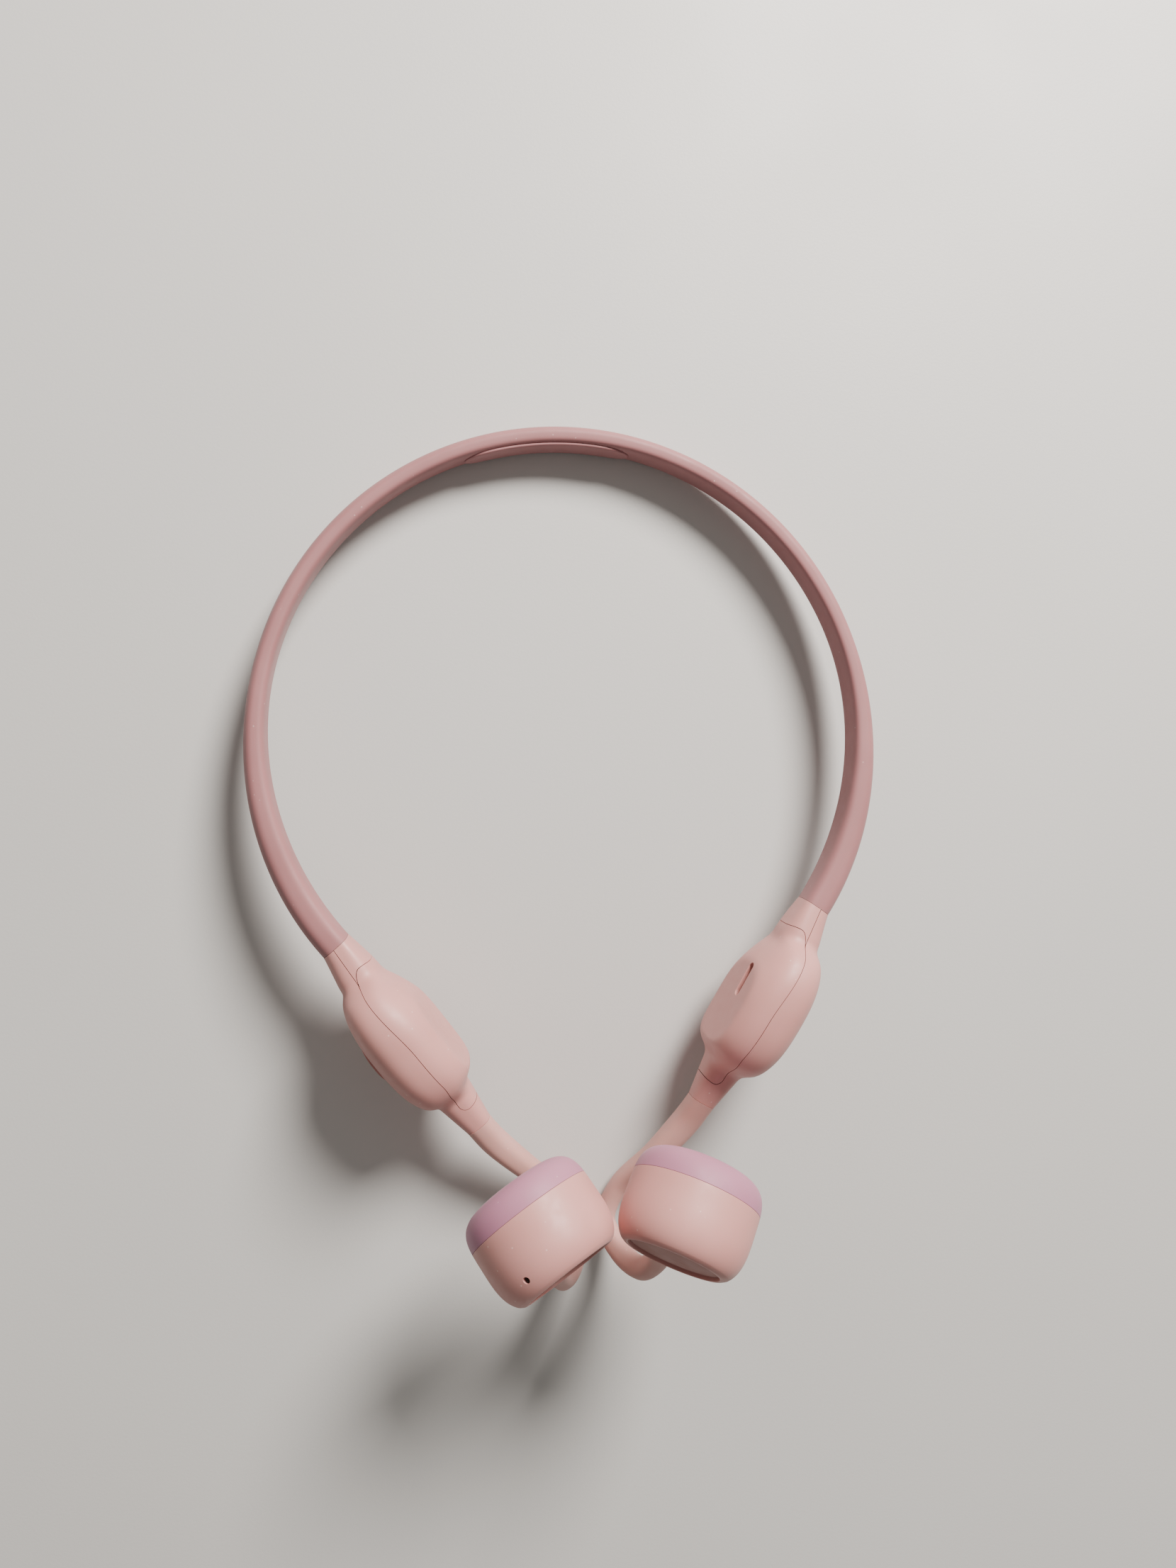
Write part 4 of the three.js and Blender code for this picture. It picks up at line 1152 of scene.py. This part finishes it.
@dataclass
class Pod:
    """One pod: a cover on the head's side, an outer shell and a clip round the neck."""

    side: Side
    path: PodPath = PodPath()
    seam: float = 0.13
    wall: float = 1.3
    room_inset: float = 1.6
    sides: int = 104
    step_length: float = 0.32
    seam_inset: float = 1.5
    seam_inset_span: tuple[float, float] = (24.0, 32.0)
    seam_steps: int = 40
    cover_start: float = 5.4
    cover_end: float = 40.6
    neck_meets: float = 8.8
    neck_turn: float = 1.9
    neck_rounding: tuple[float, float] = (2.0, 3.2)
    tongue_rounding: tuple[float, float] = (1.5, 1.3)
    tongue_return: tuple[float, float] = (2.0, 3.7)
    tool_depth: float = 20.0
    tool_height: float = 40.0
    tool_margin: float = 3.0
    slot_size: tuple[float, float, float] = (7.2, 2.1, 1.1)
    slot_along: float = 19.3
    slot_above: float = 4.0
    slot_tool_across: float = 7.0
    slot_tool_depth: float = 12.0
    pin_radius: float = 0.5
    pin_spacing: float = 3.6
    pin_height: float = 0.3
    pin_root: float = 1.6
    pin_rounding: float = 0.2
    volume_radius: float = 2.3
    volume_spacing: float = 8.0
    volume_across: float = 3.4
    call_radius: float = 4.4
    light_radius: float = 0.8
    light_along: float = 13.9
    light_gap: float = 0.08
    light_proud: float = 0.02
    light_root: float = 5.0
    key_gap: float = 0.18
    key_proud: float = 0.6
    key_root: float = 3.5
    key_rounding: float = 0.25

    def skin(self, extra: float = 0.0, start: float = 0.0, end: float | None = None,
             ) -> bmesh.types.BMesh:
        """Sweeps the pod's outline.

        Args:
            extra: Margin all round.
            start: Distance along the pod at which it starts.
            end: Distance along the pod at which it ends, or None for the arm's seam.

        Returns:
            A closed mesh.
        """
        last = self.path.length - self.seam / 2 if end is None else end
        count = round((last - start) / self.step_length)
        return swept(self.path.station, lambda along: self.path.reach(along, extra),
                     spread(start, last, count), self.sides)

    def room(self) -> bmesh.types.BMesh:
        """Returns the hollow inside the disc."""
        return self.skin(-self.wall, self.path.disc_start + self.room_inset,
                         self.path.disc_end - self.room_inset)

    def parting(self, along: float) -> float:
        """Returns where the seam runs across the pod: nearer the head over the disc."""
        full, fades = self.seam_inset_span
        last = self.cover_end - self.tongue_rounding[0]
        disc = smooth(along, self.neck_meets, full) * (1 - smooth(along, fades, last))
        return -self.seam_inset * disc

    def cover_outline(self) -> list[tuple[float, float]]:
        """Returns the cover's outline seen from above, as distances along and across the pod."""
        start, meets, end = self.cover_start, self.neck_meets, self.cover_end
        turn = self.neck_turn
        along, across = self.neck_rounding
        neck = quarter((start + along, -turn), (0, -across), (-along, 0))
        neck += quarter((meets, -turn), (start - meets, 0), (0, turn))[1:]
        along, across = self.tongue_rounding
        seam = [(spot, self.parting(spot))
                for spot in spread(meets, end - along, self.seam_steps)[1:]]
        tongue = quarter((end - along, -across), (0, across), (along, 0))[1:]
        back, deeper = self.tongue_return
        tongue += quarter((end - back, -across), (back, 0), (0, -deeper))[1:]
        deep = -self.tool_depth
        return [(neck[0][0], deep), *neck, *seam, *tongue, (tongue[-1][0], deep)]

    def cover_tool(self, grow: float) -> bmesh.types.BMesh:
        """Returns an upright solid with the cover's outline.

        Args:
            grow: How far it is grown, which leaves the seam round the cover.

        Returns:
            The closed solid.
        """
        outline = self.cover_outline()
        mesh = bmesh.new()
        count = len(outline)
        low = self.path.point(0).z - self.tool_height
        for i, (along, across) in enumerate(outline):
            before, after = Vector(outline[i - 1]), Vector(outline[(i + 1) % count])
            tangent = (after - before).normalized()
            point = self.path.point(along - tangent.y * grow, across + tangent.x * grow)
            point.z = low
            mesh.verts.new(point)
        face = mesh.faces.new(mesh.verts)
        made = bmesh.ops.extrude_face_region(mesh, geom=[face])["geom"]
        top = [item for item in made if isinstance(item, bmesh.types.BMVert)]
        bmesh.ops.translate(mesh, verts=top, vec=Z * (2 * self.tool_height))
        bmesh.ops.recalc_face_normals(mesh, faces=mesh.faces)
        return mesh

    def neck_tool(self, grow: float) -> bmesh.types.BMesh:
        """Returns a block round the neck's inner half, up to where the cover takes over."""
        length = self.neck_meets + grow
        return block(Vector((2 * length, self.tool_depth, self.tool_height)),
                     self.path.place(0, grow - self.tool_depth / 2))

    def hollowed(self) -> bmesh.types.BMesh:
        """Returns the pod's whole shell, as a wall round its room."""
        return carve(self.skin(), [(Cut.TAKE_AWAY, self.room())])

    def key_tool(self, key: KeyPlace, grow: float = 0.0, length: float | None = None
                 ) -> bmesh.types.BMesh:
        """Returns a drum that starts in the middle of the pod and leaves it at a key.

        Args:
            key: Where the key is.
            grow: How much wider than the key it is all round.
            length: Of the drum, or None for one that ends well outside the pod.

        Returns:
            The drum.
        """
        half = (length or self.tool_height) / 2
        if key.sideways:
            place = self.path.place(key.along, half) @ Matrix.Rotation(-math.pi / 2, 4, "X")
        else:
            place = self.path.place(key.along, key.across, -half)
        return drum(key.radius + grow, 2 * half, place, 64)

    def plug(self, key: KeyPlace, proud: float, root: float) -> bmesh.types.BMesh:
        """Returns a round piece that fills a key's hole.

        Args:
            key: Where the key is.
            proud: How far it stands out of the skin.
            root: Distance of its inner end from the middle of the pod.

        Returns:
            The piece, whose top follows the skin.
        """
        return carve(self.key_tool(key), [
            (Cut.KEEP_INSIDE, self.skin(proud)),
            (Cut.TAKE_AWAY, self.key_tool(key, self.tool_margin, root)),
        ])

    def build(self) -> None:
        """Builds the shell pieces, then this side's keys, contacts and light."""
        body = self.side.named("side")
        shell = self.hollowed()
        outer = carve(shell.copy(), [(Cut.TAKE_AWAY, self.cover_tool(self.seam)),
                                     (Cut.TAKE_AWAY, self.neck_tool(self.seam)),
                                     *((Cut.TAKE_AWAY, hole) for hole in self.key_holes())])
        cover = carve(shell.copy(), [(Cut.KEEP_INSIDE, self.cover_tool(0)),
                                     *self.slot_cuts()])
        clip = carve(shell, [(Cut.KEEP_INSIDE, self.neck_tool(0)),
                             (Cut.TAKE_AWAY, self.cover_tool(self.seam))])
        for name, mesh in (("pod_outer_shell", outer), ("pod_inner_cover", cover),
                           ("neck_clip", clip)):
            make_piece(self.side.named(name + "_skin"), mesh, Slot.pod_plastic,
                       [self.side.named(name)], body, self.side)
        for name, key in self.keys().items():
            self.build_key(name, key)
        if self.side is Side.RIGHT:
            self.build_contacts()
            make_piece("status_light_pipe",
                       self.plug(self.light(), self.light_proud, self.light_root),
                       Slot.lens, ["status_light"], body)

    def keys(self) -> dict[str, KeyPlace]:
        """Returns this side's keys by their bodies: two for volume, or one for calls."""
        if self.side is Side.LEFT:
            return {"call": KeyPlace(self.call_radius, self.path.middle, sideways=True)}
        half = self.volume_spacing / 2
        return {name: KeyPlace(self.volume_radius, self.path.middle + offset, self.volume_across)
                for name, offset in (("volume_down", -half), ("volume_up", half))}

    def light(self) -> KeyPlace:
        """Returns where the status light is, in a row with the volume keys."""
        return KeyPlace(self.light_radius, self.light_along, self.volume_across)

    def key_holes(self) -> list[bmesh.types.BMesh]:
        """Returns the tools for the holes of this side's keys and light."""
        holes = [self.key_tool(key, self.key_gap) for key in self.keys().values()]
        if self.side is Side.RIGHT:
            holes.append(self.key_tool(self.light(), self.light_gap))
        return holes

    def slot_cuts(self) -> list[tuple[Cut, bmesh.types.BMesh]]:
        """Returns the cut for the charging recess, whose floor follows the pod's skin."""
        if self.side is Side.LEFT:
            return []
        length, width, depth = self.slot_size
        tool = stadium(length - width, width / 2, self.slot_tool_depth,
                       self.path.place(self.slot_along, -self.slot_tool_across, self.slot_above)
                       @ Matrix.Rotation(math.pi / 2, 4, "X"))
        return [(Cut.TAKE_AWAY, carve(tool, [(Cut.TAKE_AWAY, self.skin(-depth))]))]

    def build_key(self, name: str, key: KeyPlace) -> None:
        """Builds a key top that follows the skin and stands a little proud of it.

        Args:
            name: The key's body.
            key: Where the key is.
        """
        top = self.plug(key, self.key_proud, self.key_root)
        piece = make_piece(f"{name}_button_top", top, Slot.button_silicone, [f"{name}_button"],
                           name, self.side)
        soften(piece, self.key_rounding)

    def build_contacts(self) -> None:
        """Builds the two domed charging contacts in the recess."""
        depth = self.slot_size[2]
        surface = self.path.facet - self.path.facet_lean * self.slot_above
        for name, way in (("charge_contact_back", -1), ("charge_contact_front", 1)):
            place = self.path.place(self.slot_along + way * self.pin_spacing / 2,
                                    -surface + depth, self.slot_above)
            pin = peg(self.pin_radius, self.pin_height, self.pin_root, self.pin_rounding,
                      place @ Matrix.Rotation(math.pi / 2, 4, "X"))
            make_piece(name + "_pin", pin, Slot.gold, [name], self.side.named("side"), self.side)


@dataclass
class EarHook:
    """The silicone arm from the pod round the ear to the transducer, in one unbroken piece."""

    side: Side
    path: HookPath
    seam: float = 0.12
    flex_start: float = 1.0
    flex_end: float = 9.0
    overlap: float = 3.0
    trim_size: float = 100.0
    steps: int = 200
    sides: int = 44
    sharp: float = 50.0

    def build(self) -> None:
        """Sweeps the arm and trims it to the pod and the barrel."""
        path, pod, barrel = self.path, self.path.pod, self.path.barrel
        arm = swept(path.station, path.section, spread(-self.overlap, path.length, self.steps),
                    self.sides)
        size = self.trim_size
        beyond_pod = block(Vector((size, 2 * size, 2 * size)), pod.place(pod.length + size / 2))
        outline = barrel.outline(-barrel.half, barrel.half, self.seam)
        housing = turned([(0, -barrel.half), *outline, (0, barrel.half)], barrel.place())
        arm = carve(arm, [(Cut.KEEP_INSIDE, beyond_pod), (Cut.TAKE_AWAY, housing)])
        piece = make_piece(self.side.named("ear_hook_skin"), arm, Slot.arm_silicone,
                           [self.side.named("arm_root"), self.side.named("ear_hook")],
                           side=self.side, sharp=self.sharp)
        self.side.named("side")
        self.side.named("hook")
        self.side.point(path.point(self.flex_start))
        self.side.point(path.point(self.flex_end))
        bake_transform(piece)


@dataclass
class Transducer:
    """The barrel on the hook: a silicone cap, a moulded housing and a recessed contact pad."""

    side: Side
    path: BarrelPath
    cap_length: float = 5.4
    seam: float = 0.03
    wall: float = 1.3
    plate_radius: float = 8.4
    plate_recess: float = 0.35
    plate_thickness: float = 1.0
    plate_play: float = 0.1
    plate_gap: float = 0.14
    plate_crown: float = 0.28
    plate_crown_share: float = 0.9
    plate_edge: tuple[tuple[float, float], tuple[float, float]] = ((0.95, 0.27), (1.0, 0.3))
    plate_rounding: float = 0.22
    cap_inside_rounding: float = 1.2
    parting_start: float = 0.06
    parting_bevel: tuple[float, float] = (0.02, 0.07)
    rim_start: float = 0.6
    rim_corner: float = 0.5
    rim_roundings: tuple[float, float] = (0.35, 0.22)
    floor_inset: float = 0.4
    floor_slope: float = 1.5
    mic_along: float = 0.66
    mic_turn: float = math.radians(-23)
    mic_radius: float = 0.6
    mic_depth: float = 4.0
    foam_gap: float = 0.03
    foam_sunk: float = 0.6
    foam_height: float = 0.1
    foam_root: float = 0.5
    segments: int = 112

    @property
    def cap_edge(self) -> float:
        """Where the cap meets the housing."""
        return self.cap_length - self.path.half

    def build(self) -> None:
        """Builds the cap, the housing, the contact pad and, on the left, the microphone's foam."""
        self.make("transducer_cap", self.cap(), Slot.cap_silicone)
        housing = self.housing()
        if self.side is Side.LEFT:
            hole = drum(self.mic_radius, self.mic_depth, self.mic_place(0.0), 40)
            housing = carve(housing, [(Cut.TAKE_AWAY, hole)])
            foam = peg(self.mic_radius - self.foam_gap, self.foam_height, self.foam_root,
                       self.foam_height, self.mic_place(-self.foam_sunk))
            piece = make_piece("left_mic_foam", foam, Slot.lead_jacket, body="left_hook",
                               side=self.side)
            piece.data.materials[0] = MIC_FOAM.material()
        self.make("transducer_housing", housing, Slot.pod_plastic)
        self.make("contact_plate", self.plate(), Slot.plate_plastic)

    def make(self, name: str, mesh: bmesh.types.BMesh, slot: Slot) -> None:
        """Puts a piece on this side and finishes it."""
        make_piece(self.side.named(name + "_skin"), mesh, slot, [self.side.named(name)],
                   self.side.named("hook"), self.side)

    def mic_place(self, raised: float) -> Matrix:
        """Returns a matrix on the barrel's side, with Z out of it, at the microphone."""
        turn = self.mic_turn
        across = self.path.axis.cross(self.path.down)
        out = (across * -math.sin(turn) - self.path.down * math.cos(turn)).normalized()
        along = self.path.half * self.mic_along
        side = self.path.axis.cross(out)
        basis = Matrix((side, self.path.axis, out)).transposed().to_4x4()
        point = self.path.centre + self.path.axis * along + out * (self.path.reach(along) + raised)
        return Matrix.Translation(point) @ basis

    def cap(self) -> bmesh.types.BMesh:
        """Returns the cap: a soft cup with a rolled back edge."""
        half, edge, wall = self.path.half, self.cap_edge - self.seam, self.wall
        outside = self.path.outline(-half, edge - self.parting_start)
        radius = self.path.reach(edge)
        step, lip = self.parting_bevel
        profile = [(0, -half), *outside, (radius - step, edge - step), (radius - lip, edge),
                   (radius - wall, edge), (radius - wall, -half + wall + self.cap_inside_rounding),
                   (self.path.cap_flat, -half + wall), (0, -half + wall)]
        return turned(profile, self.path.place(), self.segments)

    def housing(self) -> bmesh.types.BMesh:
        """Returns the housing: a crowned ring with a rolled rim round the recess."""
        half, edge, wall = self.path.half, self.cap_edge, self.wall
        floor = half - self.plate_recess - self.plate_thickness - self.plate_play
        recess = self.plate_radius + self.plate_gap
        radius = self.path.reach(edge)
        step, lip = self.parting_bevel
        corner = half - self.rim_corner
        rim = rounded([(self.path.reach(corner), corner), (self.path.face_flat, half),
                       (recess, half), (recess, floor)], dict(enumerate(self.rim_roundings, 1)))
        profile = [(0, floor - wall), (self.plate_radius - self.floor_inset, floor - wall),
                   (radius - wall, floor - wall - self.floor_slope), (radius - wall, edge),
                   (radius - lip, edge), (radius - step, edge + step),
                   *self.path.outline(edge + self.parting_start, half - self.rim_start), *rim,
                   (0, floor)]
        return turned(profile, self.path.place(), self.segments)

    def plate(self) -> bmesh.types.BMesh:
        """Returns the contact pad, crowned a little, with a rounded edge."""
        face = self.path.half - self.plate_recess
        radius = self.plate_radius
        back = face - self.plate_thickness
        dome = [(radius * share, face - self.plate_crown * share ** 2)
                for share in spread(0, self.plate_crown_share, 12)]
        edge = [(radius * share, face - drop) for share, drop in self.plate_edge]
        profile = [*dome, *rounded([*edge, (radius, back)], {1: self.plate_rounding}), (0, back)]
        return turned(profile, self.path.place(), self.segments)


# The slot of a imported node, by words in its name. The first row that fits is taken.
INTERNAL_SLOTS = (
    (("spring_wire", "hook_wire"), Slot.spring_titanium),
    (("_lead",), Slot.lead_jacket),
    (("switch", "vibration_plate", "yoke"), Slot.steel),
    (("drive_magnet", "charge_magnet"), Slot.magnet_nickel),
    (("voice_coil",), Slot.copper),
    (("charge_contact",), Slot.gold),
    (("circuit_board",), Slot.board_green),
    (("battery",), Slot.cell_foil),
    (("status_light",), Slot.lens),
    (("neckband",), Slot.band_silicone),
    (("arm_root", "ear_hook"), Slot.arm_silicone),
    (("transducer_cap",), Slot.cap_silicone),
    (("contact_plate",), Slot.plate_plastic),
    (("button",), Slot.button_silicone),
)


@dataclass
class Internals:
    """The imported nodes: the working parts inside keep their shape and get their finish here."""

    frame: dict

    def dress(self) -> None:
        """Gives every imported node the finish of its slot."""
        for name, node in self.frame["nodes"].items():
            slot = self.slot_of(name)
            node.data.materials.clear()
            node.data.materials.append(slot.value.material())
            LOG.info("%s: %s", name, slot.value.name)

    def slot_of(self, name: str) -> Slot:
        """Returns the record's slot of a node, by its name."""
        for words, slot in INTERNAL_SLOTS:
            if any(word in name for word in words):
                return slot
        return Slot.pod_plastic


@dataclass
class Studio:
    """A pale table, soft light from over the right back of the neckband, and the camera."""

    table_size: float = 3.0
    lens: float = 26.0
    distance: float = 0.226
    aim: tuple[float, float, float] = (3.62, -9.57, 10.0)
    tilt: float = math.radians(7.32)
    pitch: float = math.radians(-3.47)
    roll: float = math.radians(3.44)
    key_direction: tuple[float, float, float] = (0.4, 0.68, 0.62)
    key_distance: float = 0.8
    key_size: float = 0.3
    key_power: float = 18.2
    key_colour: str = "#fff6ee"
    sky: float = 0.285
    sky_colour: str = "#fdf6ee"
    sensor: float = 36.0
    nearest: float = 0.01

    def build(self) -> None:
        """Builds the table, the lights and the camera."""
        self.table()
        self.lights()
        self.camera()

    def table(self) -> None:
        """Lays the table under the headphones."""
        mesh = bmesh.new()
        bmesh.ops.create_grid(mesh, x_segments=4, y_segments=4, size=self.table_size / 2)
        table = plain_object("table", mesh)
        table.data.materials.append(TABLE.material())

    def lights(self) -> None:
        """Hangs a soft key light and lights the room round it."""
        light = bpy.data.lights.new("key", "AREA")
        light.shape = "DISK"
        light.size = self.key_size
        light.energy = self.key_power
        light.color = linear(self.key_colour)[:3]
        key = bpy.data.objects.new("key", light)
        direction = Vector(self.key_direction).normalized()
        key.location = direction * self.key_distance
        key.rotation_euler = direction.to_track_quat("Z", "Y").to_euler()
        bpy.context.scene.collection.objects.link(key)
        world = bpy.data.worlds.new("room")
        bpy.context.scene.world = world
        world.use_nodes = True
        background = world.node_tree.nodes["Background"]
        background.inputs["Color"].default_value = linear(self.sky_colour)
        background.inputs["Strength"].default_value = self.sky

    def camera(self) -> None:
        """Sets the camera over the table, rolled a little."""
        tilt, pitch = self.tilt, self.pitch
        back = Vector((-math.sin(tilt), -math.sin(pitch) * math.cos(tilt),
                       math.cos(pitch) * math.cos(tilt))).normalized()
        right = Vector((0, 1, 0)).cross(back).normalized()
        up = back.cross(right)
        turn = -self.roll
        basis = Matrix((right * math.cos(turn) + up * math.sin(turn),
                        up * math.cos(turn) - right * math.sin(turn), back)).transposed()
        data = bpy.data.cameras.new("camera")
        data.sensor_fit = "VERTICAL"
        data.sensor_height = self.sensor
        data.lens = self.lens
        data.clip_start = self.nearest
        camera = bpy.data.objects.new("camera", data)
        aim = (Vector(self.aim) + SHIFT) * MM
        camera.matrix_world = (Matrix.Translation(aim + back * self.distance)
                               @ basis.to_4x4())
        bpy.context.scene.collection.objects.link(camera)
        bpy.context.scene.camera = camera


def main() -> None:
    """Builds the studio and the headphones, piece by piece."""
    Studio().build()
    Internals(frame).dress()
    Neckband().build()
    pod, barrel = PodPath(), BarrelPath()
    hook = HookPath(pod, barrel)
    for side in Side:
        Pod(side, pod).build()
        EarHook(side, hook).build()
        Transducer(side, barrel).build()


if __name__ == "__main__":
    main()
